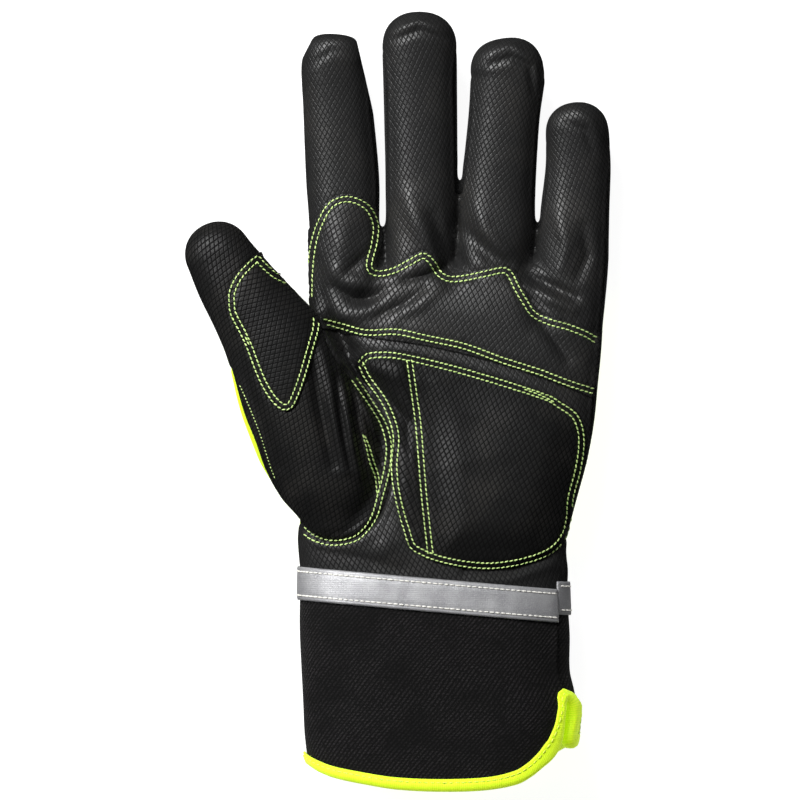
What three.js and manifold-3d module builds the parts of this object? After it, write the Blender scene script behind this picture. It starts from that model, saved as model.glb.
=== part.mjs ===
// An insulated mechanic glove for the left hand, lying on its back with the palm up.
// Millimetres. x runs from the thumb side to the little finger, y from the cuff to the
// fingertips, z from the surface that it lies on up to the palm.
// The hand is one hollow body, cut along its seams into the panels that it is sewn from.
// The reinforcements lie on the palm, and a stiff split cuff with a bound edge is sewn on below.

import * as THREE from "three";
import { mergeVertices } from "three/addons/utils/BufferGeometryUtils.js";
import Module from "manifold-3d";

const wasm = await Module();
wasm.setup();

// Walls and gaps
const handWall = 3; // leather or knit, insulation and lining
const cuffWall = 2; // rubberised canvas
const seamGap = 0.3; // between panels, and under whatever lies on them
const patchThick = 1.2; // single leather of a reinforcement
const padRise = 2; // foam under the middle of a padded reinforcement
const padInset = 5; // from a pad's edge to its foam
const tapeThick = 0.7;
const tapeWidth = 12;
const bindingThick = 0.8;
// How far the bound edge covers the canvas, by distance from the split
const bindingRows = [
  { round: 0, wide: 4.3 }, { round: 2.3, wide: 4.6 }, { round: 3, wide: 5.8 },
  { round: 7, wide: 6 }, { round: 11, wide: 4.8 }, { round: 21, wide: 4 },
  { round: 35, wide: 3.4 }, { round: 122, wide: 3 },
];
const cuffGap = 0.45; // under the tape and the binding, which bend over the cuff's tight sides
const cuffLift = cuffGap + bindingThick; // the canvas rests on its binding

const far = 130; // past the glove's sides, and twice this past its ends

// Smoothness of the solids
const outerSides = { sleeve: 28, finger: 12, thumb: 16 };
const liningSides = { sleeve: 20, finger: 10, thumb: 12 };
const domeSteps = [0.45, 0.78, 0.96];
const palmLevels = [45, 36, 26, 16, 5, -6, -17, -28, -39, -49, -55, -64, -90];
const edgeStretch = 9; // length of one stretch of the cuff's edge

// The palm and wrist as a tube: its width at each y, its top, the oval's lowest point
// before the surface flattens it, and how high its flat underside stands.
const sleeveRows = [
  { y: 50, left: -27, right: 69, top: 19, bottom: 7, ground: 0 },
  { y: 47, left: -31, right: 72.5, top: 23.5, bottom: 2.5, ground: 0 },
  { y: 40, left: -32, right: 73.2, top: 27.5, bottom: -1, ground: 0 },
  { y: 30, left: -31.5, right: 73.2, top: 30, bottom: -2, ground: 0 },
  { y: 18, left: -30.5, right: 72.6, top: 31, bottom: -2, ground: 0 },
  { y: 6, left: -29.5, right: 71.4, top: 31.5, bottom: -2, ground: 0 },
  { y: -8, left: -30.5, right: 70, top: 32.5, bottom: -2, ground: 0 },
  { y: -22, left: -32.5, right: 67.4, top: 34, bottom: -2, ground: 0 },
  { y: -36, left: -35, right: 63.6, top: 35, bottom: -2, ground: 0 },
  { y: -48, left: -36.8, right: 60.6, top: 35, bottom: -2, ground: 0 },
  { y: -55, left: -36.6, right: 59.5, top: 35, bottom: -1.6, ground: cuffLift },
  { y: -61, left: -36, right: 59.4, top: 35.2, bottom: -1.2, ground: cuffLift },
  { y: -68, left: -36, right: 60.4, top: 36, bottom: -1, ground: cuffLift },
  { y: -84, left: -36.2, right: 61, top: 38, bottom: -1, ground: cuffLift },
  { y: -97, left: -35.8, right: 60.8, top: 39.6, bottom: -1, ground: cuffLift },
  { y: -104, left: -35.4, right: 62.3, top: 40.4, bottom: -1, ground: cuffLift },
  { y: -112, left: -34.9, right: 63.9, top: 41.3, bottom: -1, ground: cuffLift },
  { y: -121, left: -34.3, right: 63.4, top: 42.3, bottom: -1, ground: cuffLift },
  { y: -142, left: -31.6, right: 61.8, top: 44, bottom: -1, ground: cuffLift },
];
const sleevePower = 2.5; // superellipse power of its section

// Fingers from base to tip: centre, half width, height of the centre and half thickness.
// Each ends in a dome that reaches tip.
const fingers = {
  index: {
    tip: { x: -22.6, y: 131.8, z: 21 },
    rows: [
      { x: -17.3, y: 30, half: 14.6, z: 14.5, thick: 12.6 },
      { x: -18.5, y: 54, half: 14.2, z: 13.6, thick: 12.4 },
      { x: -20.3, y: 80, half: 13.5, z: 14, thick: 12 },
      { x: -22, y: 105, half: 13, z: 16, thick: 11.6 },
      { x: -23.6, y: 119.5, half: 12.2, z: 18.4, thick: 11 },
    ],
  },
  middle: {
    tip: { x: 7.2, y: 140, z: 21.5 },
    rows: [
      { x: 5.6, y: 30, half: 13.3, z: 14.5, thick: 12.8 },
      { x: 6.8, y: 54, half: 13.5, z: 13.6, thick: 12.6 },
      { x: 7.6, y: 80, half: 13.8, z: 14, thick: 12.2 },
      { x: 7.4, y: 106, half: 13.5, z: 15.8, thick: 11.8 },
      { x: 7, y: 127.5, half: 13.5, z: 18.8, thick: 11.2 },
    ],
  },
  ring: {
    tip: { x: 36.9, y: 130.3, z: 21 },
    rows: [
      { x: 32.2, y: 30, half: 13.1, z: 14.5, thick: 12.6 },
      { x: 33.7, y: 52, half: 13.5, z: 13.6, thick: 12.4 },
      { x: 35.1, y: 76, half: 13.9, z: 14, thick: 12 },
      { x: 37.4, y: 101, half: 13.1, z: 16, thick: 11.6 },
      { x: 38.9, y: 116.5, half: 13.5, z: 18.2, thick: 11 },
    ],
  },
  little: {
    tip: { x: 62.6, y: 107.3, z: 19.5 },
    rows: [
      { x: 59.4, y: 26, half: 13.6, z: 14.2, thick: 12.2 },
      { x: 61.3, y: 48, half: 13.8, z: 13.3, thick: 11.9 },
      { x: 62.8, y: 68, half: 13.1, z: 13.6, thick: 11.4 },
      { x: 64.2, y: 84, half: 11.8, z: 15, thick: 10.8 },
      { x: 63.9, y: 96, half: 11.5, z: 16.8, thick: 10.2 },
    ],
  },
};

// The thumb and the swell below it as one long tube that lies across the palm's edge
const thumb = {
  tip: { x: -70.4, y: 63.2, z: 27 },
  rows: [
    { x: -22.8, y: -44, half: 11.5, z: 25, thick: 9 },
    { x: -24.4, y: -32, half: 18.6, z: 25, thick: 14 },
    { x: -28.6, y: -15, half: 23, z: 25.5, thick: 15.8 },
    { x: -37, y: 2, half: 21.5, z: 26.5, thick: 16 },
    { x: -44.2, y: 18.4, half: 18.6, z: 27.2, thick: 15 },
    { x: -51.4, y: 31, half: 16.4, z: 27.4, thick: 13.6 },
    { x: -59.9, y: 43.2, half: 13.9, z: 27.2, thick: 12.4 },
    { x: -65.2, y: 52, half: 12.2, z: 27, thick: 11.2 },
  ],
  heel: { x: -22.4, y: -50.2, z: 25 },
};
const limbPower = 2.15; // superellipse power of a finger's section

// Folds and dents in the palm side: from one end to the other, depth below the smooth
// surface (a minus sign raises a ridge) and half width
const folds = [
  { name: "cup of the palm", x1: 18, y1: 8, x2: 26, y2: -22, depth: 2.4, wide: 17 },
  { name: "thumb crotch", x1: -20, y1: 23, x2: -12, y2: 2, depth: 5, wide: 6 },
  { name: "below index", x1: -19, y1: 38, x2: 0, y2: 30, depth: 3, wide: 6 },
  { name: "crease index middle", x1: -5, y1: 52, x2: -9, y2: 40, depth: 3, wide: 5 },
  { name: "crease middle ring", x1: 20, y1: 58, x2: 19, y2: 42, depth: 3, wide: 5 },
  { name: "crease ring little", x1: 47.5, y1: 52, x2: 49, y2: 28, depth: 3.4, wide: 6 },
  { name: "edge of the swell", x1: -8, y1: -8, x2: -8, y2: -40, depth: 3, wide: 5 },
];

// Narrow creases in the leather of the thumb's swell, each a groove from one end to the other
const creases = [
  { name: "outer", x1: -30, y1: 20, x2: -23, y2: -26, wide: 1.9 },
  { name: "middle", x1: -25, y1: 18, x2: -15.5, y2: -22, wide: 2 },
  { name: "inner", x1: -19, y1: 10, x2: -9.5, y2: -16, wide: 1.9 },
];
const foldBridging = 0.22; // how much shallower a fold is, for each millimetre above the leather
const creaseSink = 0.5; // how far a groove's middle lies above the leather, in its half widths

// Outlines seen from above, each a smooth closed curve through its points
const upperPatchOutline = [
  [-33, 27.5], [-34.5, 50], [-31, 62], [-25.9, 70.9], [-18.7, 74.2], [-10.8, 70.9],
  [-6.8, 62.6], [-7.6, 53.3], [-10.2, 46.4], [-6.6, 45], [-0.7, 47.6], [7.2, 52.9],
  [11.4, 54.6], [15.5, 52], [18.7, 46], [22, 44.2], [32.4, 47.2], [38.5, 48.2],
  [42, 45.4], [45.4, 38.8], [49.7, 32.4], [57.6, 29], [69.1, 25], [76, 22],
  [75, 0.5], [57.6, 5.4], [43.2, 10.8], [25.2, 15.8], [7.2, 19.8], [-10.8, 22.2],
  [-21.6, 24.5],
];
const heelPadOutline = [
  [-15.8, 13], [-12.6, 17], [-6, 18.2], [2, 17.6], [15, 14.6], [32, 9.6], [51, 3.2],
  [59, -0.8], [64.2, -5.6], [66.6, -12], [66.8, -18.6], [64.8, -27.6], [62, -37],
  [59.4, -46], [54.5, -54], [47.2, -58.4], [36.2, -60.6], [26, -60.6], [15, -59],
  [8, -56.2], [3, -51.6], [1, -46], [-0.4, -38], [-2.2, -30], [-2.8, -21], [-2.2, -13],
  [-4.2, -6], [-8.6, 1.6], [-13.6, 8],
];
const thumbPatchOutline = [
  [-50.6, 53], [-55, 49.6], [-59, 45.4], [-61.4, 40], [-61.8, 34.4], [-60.6, 30],
  [-57.6, 24.6], [-53.4, 15], [-50, 6.2], [-46, -0.6], [-41.6, -4.2], [-38.4, -3.2],
  [-35.6, 2], [-33, 10], [-30, 20], [-27.4, 31], [-36, 44],
];
// The thumb panel's seam with the palm, from the crotch round the swell to the outer edge
const thumbSeam = [
  [-32.6, 33], [-29.5, 28.8], [-25.5, 20], [-21.6, 13], [-17.6, 8.6], [-13.8, 4.6],
  [-9.6, -0.8], [-6, -7], [-3.8, -13], [-3.2, -22], [-4.4, -32.6], [-7.2, -40.6],
  [-11.4, -45.6], [-16.8, -49.6], [-24.4, -51], [-31.4, -49], [-37, -43.6],
];
// The rest of the way round the thumb, clear of it and of the index finger
const roundThumb = [
  [-44, -46], [-110, -46], [-110, 110], [-48, 110], [-41, 64], [-37.5, 50], [-35, 40],
];

// Heights of the seams that run along the sides, as curves over y
const sideSeam = [
  { y: -160, z: 17 }, { y: -50, z: 17 }, { y: 0, z: 16 }, { y: 40, z: 14.5 },
  { y: 80, z: 14.5 }, { y: 105, z: 16.5 }, { y: 120, z: 19 }, { y: 150, z: 24 },
];
const thumbSideSeam = [
  { y: -160, z: 17 }, { y: -50, z: 17.5 }, { y: -42, z: 19.5 }, { y: -34, z: 24 },
  { y: -27, z: 29 }, { y: -18, z: 31 }, { y: -6, z: 31.5 }, { y: 8, z: 31 },
  { y: 20, z: 28.5 }, { y: 60, z: 27.5 }, { y: 150, z: 27.5 },
];
// On the thumb's inner side, towards the palm and the index finger
const thumbInnerSeam = [
  { y: -160, z: 17 }, { y: 16, z: 17 }, { y: 30, z: 22 }, { y: 44, z: 27.5 }, { y: 150, z: 27.5 },
];
const sideStripHalf = 4; // half the height of the knit strips along the sides
const knuckleLine = 33; // y where the back of the hand ends and the finger backs start
const wristLine = -50; // y where the back of the hand ends and the wrist elastic starts
// Where the back of the hand ends on the thumb and the thumb's own back starts
const thumbBackLine = [[-66, 7.5], [-28, 37]];
// Lines between the fingers, from the knuckles to past the tips
const betweenFingers = [
  [[-5.3, 20], [-5.6, 54], [-6.5, 80], [-7.6, 106], [-7.6, 160]],
  [[19, 20], [20.2, 54], [21.4, 80], [22.6, 104], [22.6, 160]],
  [[46, 20], [47.4, 50], [49.2, 68], [51, 86], [51.8, 97], [54, 106], [56, 160]],
];
const gussetStart = 38; // y where the knit between two fingers starts
const gussetToTip = 13; // how far below a fingertip it stops
// The knit strip along the outer edge: x of its inner side at the wrist and from the palm on,
// y of the bend between the two, and y where it stops
const outerStrip = { wristX: 48, palmX: 62, bend: 20, end: 93 };

const cuffHalf = 122; // half the way round the cuff, from its split to the thumb side
const splitLean = 13.3; // how far the split lies from the widest line, on the palm side
// The cuff's edge in the flat, over the palm and behind: distance round from the split, and y
const palmEdgeRows = [
  { round: 1.5, y: -108.7 }, { round: 2.1, y: -110.6 }, { round: 2.4, y: -113 },
  { round: 2.5, y: -116 }, { round: 2.6, y: -119 }, { round: 3, y: -122.4 },
  { round: 3.9, y: -125 }, { round: 6.5, y: -128.2 }, { round: 10.8, y: -131.1 },
  { round: 15, y: -133.9 }, { round: 21.2, y: -136.7 }, { round: 34.5, y: -138.7 },
  { round: 54.7, y: -139.2 }, { round: 73.7, y: -138.4 }, { round: 86.1, y: -136.8 },
  { round: 99.6, y: -134.6 }, { round: 107.4, y: -132.6 }, { round: 114.7, y: -130.6 },
  { round: cuffHalf, y: -129.4 },
];
const backEdgeRows = [
  { round: 1.5, y: -108.7 }, { round: 2.1, y: -110.6 }, { round: 2.5, y: -113 },
  { round: 2.6, y: -116 }, { round: 2.6, y: -119 }, { round: 2.7, y: -121.6 },
  { round: 3.6, y: -123.4 }, { round: 6.4, y: -124 }, { round: 10.5, y: -123.2 },
  { round: 14.7, y: -122.8 }, { round: 19.2, y: -123.2 }, { round: 24.2, y: -124.6 },
  { round: 28.7, y: -127.2 }, { round: 35, y: -131.6 }, { round: 41.7, y: -135 },
  { round: 51.6, y: -137.9 }, { round: 67.9, y: -139.2 }, { round: 83.2, y: -138.4 },
  { round: 93.1, y: -136.8 }, { round: 104, y: -134.4 }, { round: 110.2, y: -132.4 },
  { round: 116.1, y: -130.5 }, { round: cuffHalf, y: -129.4 },
];
const splitTop = -107.4; // y where the split ends
const tapeLine = { left: -65.8, right: -74.4 }; // y of the tape's middle at either side
const backTapeLine = { left: -65.8, right: -71.4 }; // the same for the length behind

// One column of a table at a given key, by Catmull-Rom interpolation
function columnAt(rows, key, name, at) {
  const rising = rows[rows.length - 1][key] > rows[0][key];
  const sorted = rising ? rows : [...rows].reverse();
  const last = sorted.length - 1;
  if (at <= sorted[0][key]) return sorted[0][name];
  if (at >= sorted[last][key]) return sorted[last][name];
  const i = sorted.findIndex((row, n) => n < last && at <= sorted[n + 1][key]);
  const slope = (n) => {
    const a = sorted[Math.max(n - 1, 0)];
    const b = sorted[Math.min(n + 1, last)];
    return (b[name] - a[name]) / (b[key] - a[key]);
  };
  const [p, q] = [sorted[i], sorted[i + 1]];
  const span = q[key] - p[key];
  const t = (at - p[key]) / span;
  const [t2, t3] = [t * t, t * t * t];
  return (
    p[name] * (2 * t3 - 3 * t2 + 1) +
    q[name] * (3 * t2 - 2 * t3) +
    slope(i) * span * (t3 - 2 * t2 + t) +
    slope(i + 1) * span * (t3 - t2)
  );
}

// A point of a superellipse at an angle, as [sideways, up]
function ovalPoint(angle, half, thick, power) {
  const [c, s] = [Math.cos(angle), Math.sin(angle)];
  return [
    half * Math.sign(c) * Math.abs(c) ** (2 / power),
    thick * Math.sign(s) * Math.abs(s) ** (2 / power),
  ];
}

// How far the folds lower the palm side at a place seen from above
function foldDepth(x, y) {
  return folds.reduce((sum, fold) => {
    const [dx, dy] = [fold.x2 - fold.x1, fold.y2 - fold.y1];
    const along = ((x - fold.x1) * dx + (y - fold.y1) * dy) / (dx * dx + dy * dy);
    const t = THREE.MathUtils.clamp(along, 0, 1);
    const away = Math.hypot(x - fold.x1 - t * dx, y - fold.y1 - t * dy);
    return sum + fold.depth * Math.exp(-((away / fold.wide) ** 2));
  }, 0);
}

// A ring point lowered by the depth of the folds there, on the palm side, with the underside
// flattened. What lies on the leather bridges the folds.
function settled(x, y, z, upness, depth, ground, offset) {
  const bridged = 1 - Math.max(offset, 0) * foldBridging;
  const pressed = z - depth * bridged * Math.max(0, upness) ** 0.5;
  return new THREE.Vector3(x, y, Math.max(pressed, Math.max(ground, 0) - offset));
}

// The sleeve's surface at an angle and y, moved out by offset
function sleevePoint(angle, y, offset) {
  const get = (name) => columnAt(sleeveRows, "y", name, y);
  const [left, right, top, bottom] = ["left", "right", "top", "bottom"].map(get);
  const middle = (left + right) / 2;
  const thick = (top - bottom) / 2 + offset;
  const [side, up] = ovalPoint(angle, (right - left) / 2 + offset, thick, sleevePower);
  const [plainSide] = ovalPoint(angle, (right - left) / 2, thick, sleevePower);
  const depth = foldDepth(middle + plainSide, y);
  const height = (top + bottom) / 2 + up;
  return settled(middle + side, y, height, up / thick, depth, get("ground"), offset);
}

// Closed geometry from rings of the same count, the ends closed by a fan to their middles
function loftGeometry(rings) {
  const count = rings[0].length;
  const middle = (ring) =>
    ring.reduce((sum, p) => sum.add(p), new THREE.Vector3()).divideScalar(ring.length);
  const points = [...rings.flat(), middle(rings[0]), middle(rings[rings.length - 1])];
  const faces = [];
  rings.slice(1).forEach((ring, r) => {
    for (let i = 0; i < count; i++) {
      const [a, b] = [r * count + i, r * count + ((i + 1) % count)];
      faces.push(a, b, b + count, a, b + count, a + count);
    }
  });
  const [first, last] = [points.length - 2, points.length - 1];
  const lastRing = (rings.length - 1) * count;
  for (let i = 0; i < count; i++) {
    const next = (i + 1) % count;
    faces.push(first, next, i, last, lastRing + i, lastRing + next);
  }
  return new THREE.BufferGeometry().setFromPoints(points).setIndex(faces);
}

// A closed geometry as a solid, turned right side out
function solidOf(geometry) {
  const bare = geometry.clone();
  bare.deleteAttribute("normal");
  bare.deleteAttribute("uv");
  const merged = mergeVertices(bare, 1e-4);
  const vertProperties = merged.attributes.position.array;
  const triVerts = new Uint32Array(merged.index.array);
  const make = () => new wasm.Manifold(new wasm.Mesh({ numProp: 3, vertProperties, triVerts }));
  const solid = make();
  if (solid.volume() > 0) return solid;
  for (let i = 0; i < triVerts.length; i += 3)
    [triVerts[i + 1], triVerts[i + 2]] = [triVerts[i + 2], triVerts[i + 1]];
  return make();
}

function unite(solids) {
  return solids.reduce((sum, solid) => sum.add(solid));
}

// The tube of a finger or the thumb, with a dome at each end that has a tip
function limbSolid(limb, sides, offset) {
  const { rows, tip, heel } = limb;
  const along = (a, b) => new THREE.Vector2(b.x - a.x, b.y - a.y).normalize();
  const ringAt = (centre, way, half, thick) =>
    Array.from({ length: sides }, (_, i) => {
      const [side, up] = ovalPoint((i / sides) * 2 * Math.PI, half, thick, limbPower);
      const place = (reach) => [centre.x + way.y * reach, centre.y - way.x * reach];
      const depth = foldDepth(...place((side * (half - offset)) / half));
      return settled(...place(side), centre.z + up, up / thick, depth, 0, offset);
    });
  const dome = (row, end, way) =>
    domeSteps.map((step) => {
      const shrink = (1 - step ** 2.1) ** (1 / 2.1);
      const reach = 1 + offset / Math.hypot(end.x - row.x, end.y - row.y);
      const centre = new THREE.Vector3(row.x, row.y, row.z).lerp(end, step * reach);
      return ringAt(centre, way, (row.half + offset) * shrink, (row.thick + offset) * shrink);
    });
  const rings = rows.map((row, n) => {
    const way = along(rows[Math.max(n - 1, 0)], rows[Math.min(n + 1, rows.length - 1)]);
    return ringAt(row, way, row.half + offset, row.thick + offset);
  });
  const lastRow = rows[rows.length - 1];
  rings.push(...dome(lastRow, tip, along(lastRow, tip)));
  if (heel) rings.unshift(...dome(rows[0], heel, along(heel, rows[0])).reverse());
  return solidOf(loftGeometry(rings));
}

// The whole outer form of the hand down to a little below the tape, moved out by offset
function handBody(offset) {
  const top = sleeveRows[0].y + Math.min(offset, 0);
  const levels = [top, ...palmLevels.filter((y) => y < top - 1)];
  const sides = offset < 0 ? liningSides : outerSides;
  const rings = levels.map((y) =>
    Array.from({ length: sides.sleeve }, (_, i) =>
      sleevePoint((i / sides.sleeve) * 2 * Math.PI, y, offset),
    ),
  );
  const limbs = Object.values(fingers).map((finger) => limbSolid(finger, sides.finger, offset));
  return unite([solidOf(loftGeometry(rings)), ...limbs, limbSolid(thumb, sides.thumb, offset)]);
}

// A smooth outline from above as a tall prism
function uprightPrism(points, low = -10, high = 90) {
  const curve = new THREE.CatmullRomCurve3(
    points.map(([x, y]) => new THREE.Vector3(x, y, 0)), true, "centripetal");
  const shape = new THREE.Shape(curve.getPoints(points.length).slice(0, -1));
  return extruded(shape, low, high);
}

// A straight-sided outline from above as a tall prism
function polygonPrism(points, low = -10, high = 90) {
  return extruded(new THREE.Shape(points.map(([x, y]) => new THREE.Vector2(x, y))), low, high);
}

function extruded(shape, low, high) {
  const geometry = new THREE.ExtrudeGeometry(shape, { depth: high - low, bevelEnabled: false });
  return solidOf(geometry.translate(0, 0, low));
}

// Everything between two heights that follow a seam along the side, across the whole hand
function seamBand(low, high, seam = sideSeam) {
  const line = (shift) => seam.map(({ y, z }) => new THREE.Vector2(y, z + shift));
  const upper = line(Math.min(high, far));
  const shape = new THREE.Shape([...line(low), ...upper.reverse()]);
  const geometry = new THREE.ExtrudeGeometry(shape, { depth: 2 * far, bevelEnabled: false });
  const turn = new THREE.Matrix4().makeBasis(
    new THREE.Vector3(0, 1, 0), new THREE.Vector3(0, 0, 1), new THREE.Vector3(1, 0, 0));
  return solidOf(geometry.applyMatrix4(turn).translate(-far, 0, 0));
}

// Outline points moved outwards, or inwards by a negative distance
function grown(points, distance) {
  const area = points.reduce((sum, [x, y], i) => {
    const [nextX, nextY] = points[(i + 1) % points.length];
    return sum + x * nextY - nextX * y;
  }, 0);
  const turn = Math.sign(area) * distance;
  return points.map(([x, y], i) => {
    const before = points[(i + points.length - 1) % points.length];
    const after = points[(i + 1) % points.length];
    const length = Math.hypot(after[0] - before[0], after[1] - before[1]);
    const [dx, dy] = [(after[0] - before[0]) / length, (after[1] - before[1]) / length];
    return [x + dy * turn, y - dx * turn];
  });
}

// The thumb's region from above, as a prism
function thumbPrism(grow) {
  const seam = new THREE.SplineCurve(thumbSeam.map(([x, y]) => new THREE.Vector2(x, y)));
  const outline = [...seam.getPoints(thumbSeam.length).map(({ x, y }) => [x, y]), ...roundThumb];
  return polygonPrism(grown(outline, grow));
}

// y of the middle of the tape's line across the wrist
function tapeY(x, line = tapeLine) {
  const [left, right] = [-37, 60];
  return line.left + ((x - left) / (right - left)) * (line.right - line.left);
}

// The side of a slanting line across the whole hand that lies towards the fingers
function beyondLine([x1, y1], [x2, y2], shift) {
  const slope = (y2 - y1) / (x2 - x1);
  const at = (x) => y1 + (x - x1) * slope + shift * Math.hypot(1, slope);
  return polygonPrism([[-far, at(-far)], [far, at(far)], [far, 2 * far], [-far, 2 * far]]);
}

const halfGap = seamGap / 2;
const smoothBody = handBody(0);

// A groove's cutter: a spindle that lies on the body from one end of the crease to the other
function creaseCutter({ x1, y1, x2, y2, wide }) {
  const way = new THREE.Vector2(x2 - x1, y2 - y1).normalize();
  const sides = 6;
  const rings = [0, 0.12, 0.35, 0.65, 0.88, 1].map((t) => {
    const [x, y] = [THREE.MathUtils.lerp(x1, x2, t), THREE.MathUtils.lerp(y1, y2, t)];
    const half = wide * Math.max(0.06, Math.sqrt(4 * t * (1 - t)));
    const z = heightOf(smoothBody, x, y) + half * creaseSink;
    return Array.from({ length: sides }, (_, i) => {
      const [side, up] = ovalPoint(((i + 0.5) / sides) * 2 * Math.PI, half, half * 1.4, 2);
      return new THREE.Vector3(x + way.y * side, y - way.x * side, z + up);
    });
  });
  return solidOf(loftGeometry(rings));
}

// How high a solid reaches at a place seen from above
function heightOf(solid, x, y) {
  const half = 0.05;
  const needle = polygonPrism([[x - half, y - half], [x + half, y - half], [x, y + half]]);
  return solid.intersect(needle).boundingBox().max[2];
}

const shell = smoothBody
  .subtract(unite(creases.map(creaseCutter)))
  .subtract(handBody(-handWall))
  .intersect(beyondLine([-37, tapeY(-37)], [60, tapeY(60)], halfGap));

// A knit gusset between two fingers: from one finger's middle to the next, up to near each tip
function gussetPrism(first, second, between, inset) {
  const stop = (finger) => finger.tip.y - gussetToTip - inset;
  const middleX = (finger, y) => columnAt(finger.rows, "y", "x", y);
  const betweenX = (y) => columnAt(between.map(([x, v]) => ({ x, y: v })), "y", "x", y);
  const start = gussetStart + inset;
  return polygonPrism([
    [middleX(first, start), start], [middleX(second, start), start],
    [middleX(second, stop(second)), stop(second)], [betweenX(stop(second)), stop(second)],
    [betweenX(stop(first)), stop(first)], [middleX(first, stop(first)), stop(first)],
  ]);
}
const fingerList = Object.values(fingers);
const gussets = (inset) => [
  ...betweenFingers.map((line, i) => gussetPrism(fingerList[i], fingerList[i + 1], line, inset)),
  polygonPrism([
    [outerStrip.wristX, wristLine + inset], [far, wristLine + inset],
    [far, outerStrip.end - inset], [outerStrip.palmX, outerStrip.end - inset],
    [outerStrip.palmX, outerStrip.bend],
  ]),
];
const stripBand = seamBand(-sideStripHalf, sideStripHalf);
const stripRoom = unite(gussets(0)).intersect(stripBand);
const narrowBand = seamBand(seamGap - sideStripHalf, sideStripHalf - seamGap);
const strips = gussets(seamGap).map((prism) => shell.intersect(narrowBand).intersect(prism));

// Palm side of the hand, above the side seam and beside the thumb
const palmPanel = shell
  .intersect(seamBand(halfGap, Infinity))
  .subtract(thumbPrism(seamGap))
  .subtract(stripRoom);
const thumbAxis = [thumb.heel, ...thumb.rows, thumb.tip];
const innerSide = polygonPrism([
  ...thumbAxis.map(({ x, y }) => [x, y]), [-84, 90], [90, 90], [90, -120], [-22, -120],
]);
const aboveThumbSeam = (shift) =>
  seamBand(shift, Infinity, thumbSideSeam)
    .add(seamBand(shift, Infinity, thumbInnerSeam).intersect(innerSide));
const thumbPanel = shell.intersect(thumbPrism(0)).intersect(aboveThumbSeam(halfGap));

// Everything behind the seams, then cut into the pieces of the back
const behind = shell
  .subtract(seamBand(-halfGap, Infinity).subtract(thumbPrism(0)))
  .subtract(thumbPrism(seamGap).intersect(aboveThumbSeam(-halfGap)))
  .subtract(stripRoom);
const thumbEnd = (gap) => beyondLine(...thumbBackLine, -gap).intersect(thumbPrism(gap));
const thumbBack = behind.intersect(thumbEnd(0));
const aboveKnuckles = (shift) => beyondLine([-far, knuckleLine], [far, knuckleLine], shift);
const aboveWrist = (shift) => beyondLine([-far, wristLine], [far, wristLine], shift);
const fingersBehind = behind.intersect(aboveKnuckles(halfGap)).subtract(thumbEnd(seamGap));
const fingerBacks = fingerList.map((_, i) => {
  const moved = (line, shift) => line.map(([x, y]) => [x + shift, y]);
  const left = i ? moved(betweenFingers[i - 1], halfGap) : [[-far, 20], [-far, 160]];
  const right = i < 3 ? moved(betweenFingers[i], -halfGap) : [[far, 20], [far, 160]];
  return fingersBehind.intersect(polygonPrism([...left, ...right.reverse()]));
});
const handBack = behind
  .intersect(aboveWrist(halfGap))
  .subtract(aboveKnuckles(-halfGap).subtract(thumbPrism(0)))
  .subtract(thumbEnd(seamGap));
const wristElastic = behind.subtract(aboveWrist(-halfGap));

// Leather laid on the palm, following it a gap above
const patchLayer = handBody(seamGap + patchThick).subtract(handBody(seamGap));
const padLayer = handBody(seamGap + patchThick + padRise).subtract(handBody(seamGap));
const onTop = seamBand(sideStripHalf + 1, Infinity);
function patch(outline) {
  return patchLayer.intersect(uprightPrism(outline)).intersect(onTop);
}
function pad(outline) {
  const filling = padLayer.intersect(uprightPrism(grown(outline, -padInset))).intersect(onTop);
  return patch(outline).add(filling);
}
const upperPatch = patch(upperPatchOutline).subtract(thumbPrism(2 * seamGap));
const heelPad = pad(heelPadOutline);
const thumbPatch = patch(thumbPatchOutline).intersect(thumbPrism(-seamGap));

// Angles of the sleeve against the distance round it, from the widest line over the palm side
const angleTable = (() => {
  const [steps, measuredAt] = [180, -125];
  const angleAt = (i) => (i / steps) * Math.PI;
  const at = (i) => sleevePoint(angleAt(i), measuredAt, 0);
  const table = [{ round: 0, angle: 0 }];
  for (let i = 1; i <= steps; i++) {
    const round = table[i - 1].round + at(i).distanceTo(at(i - 1));
    table.push({ round, angle: angleAt(i) });
  }
  const scale = cuffHalf / table[steps].round;
  return table.map(({ round, angle }) => ({ round: round * scale, angle }));
})();

// A place on the cuff in the flat, as a point in space. Behind the split round is negative.
function cuffPoint(round, y, offset) {
  const leant = round + splitLean * (1 - Math.abs(round) / cuffHalf);
  const angle = Math.sign(leant) * columnAt(angleTable, "round", "angle", Math.abs(leant));
  return sleevePoint(angle, y, offset);
}

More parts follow.
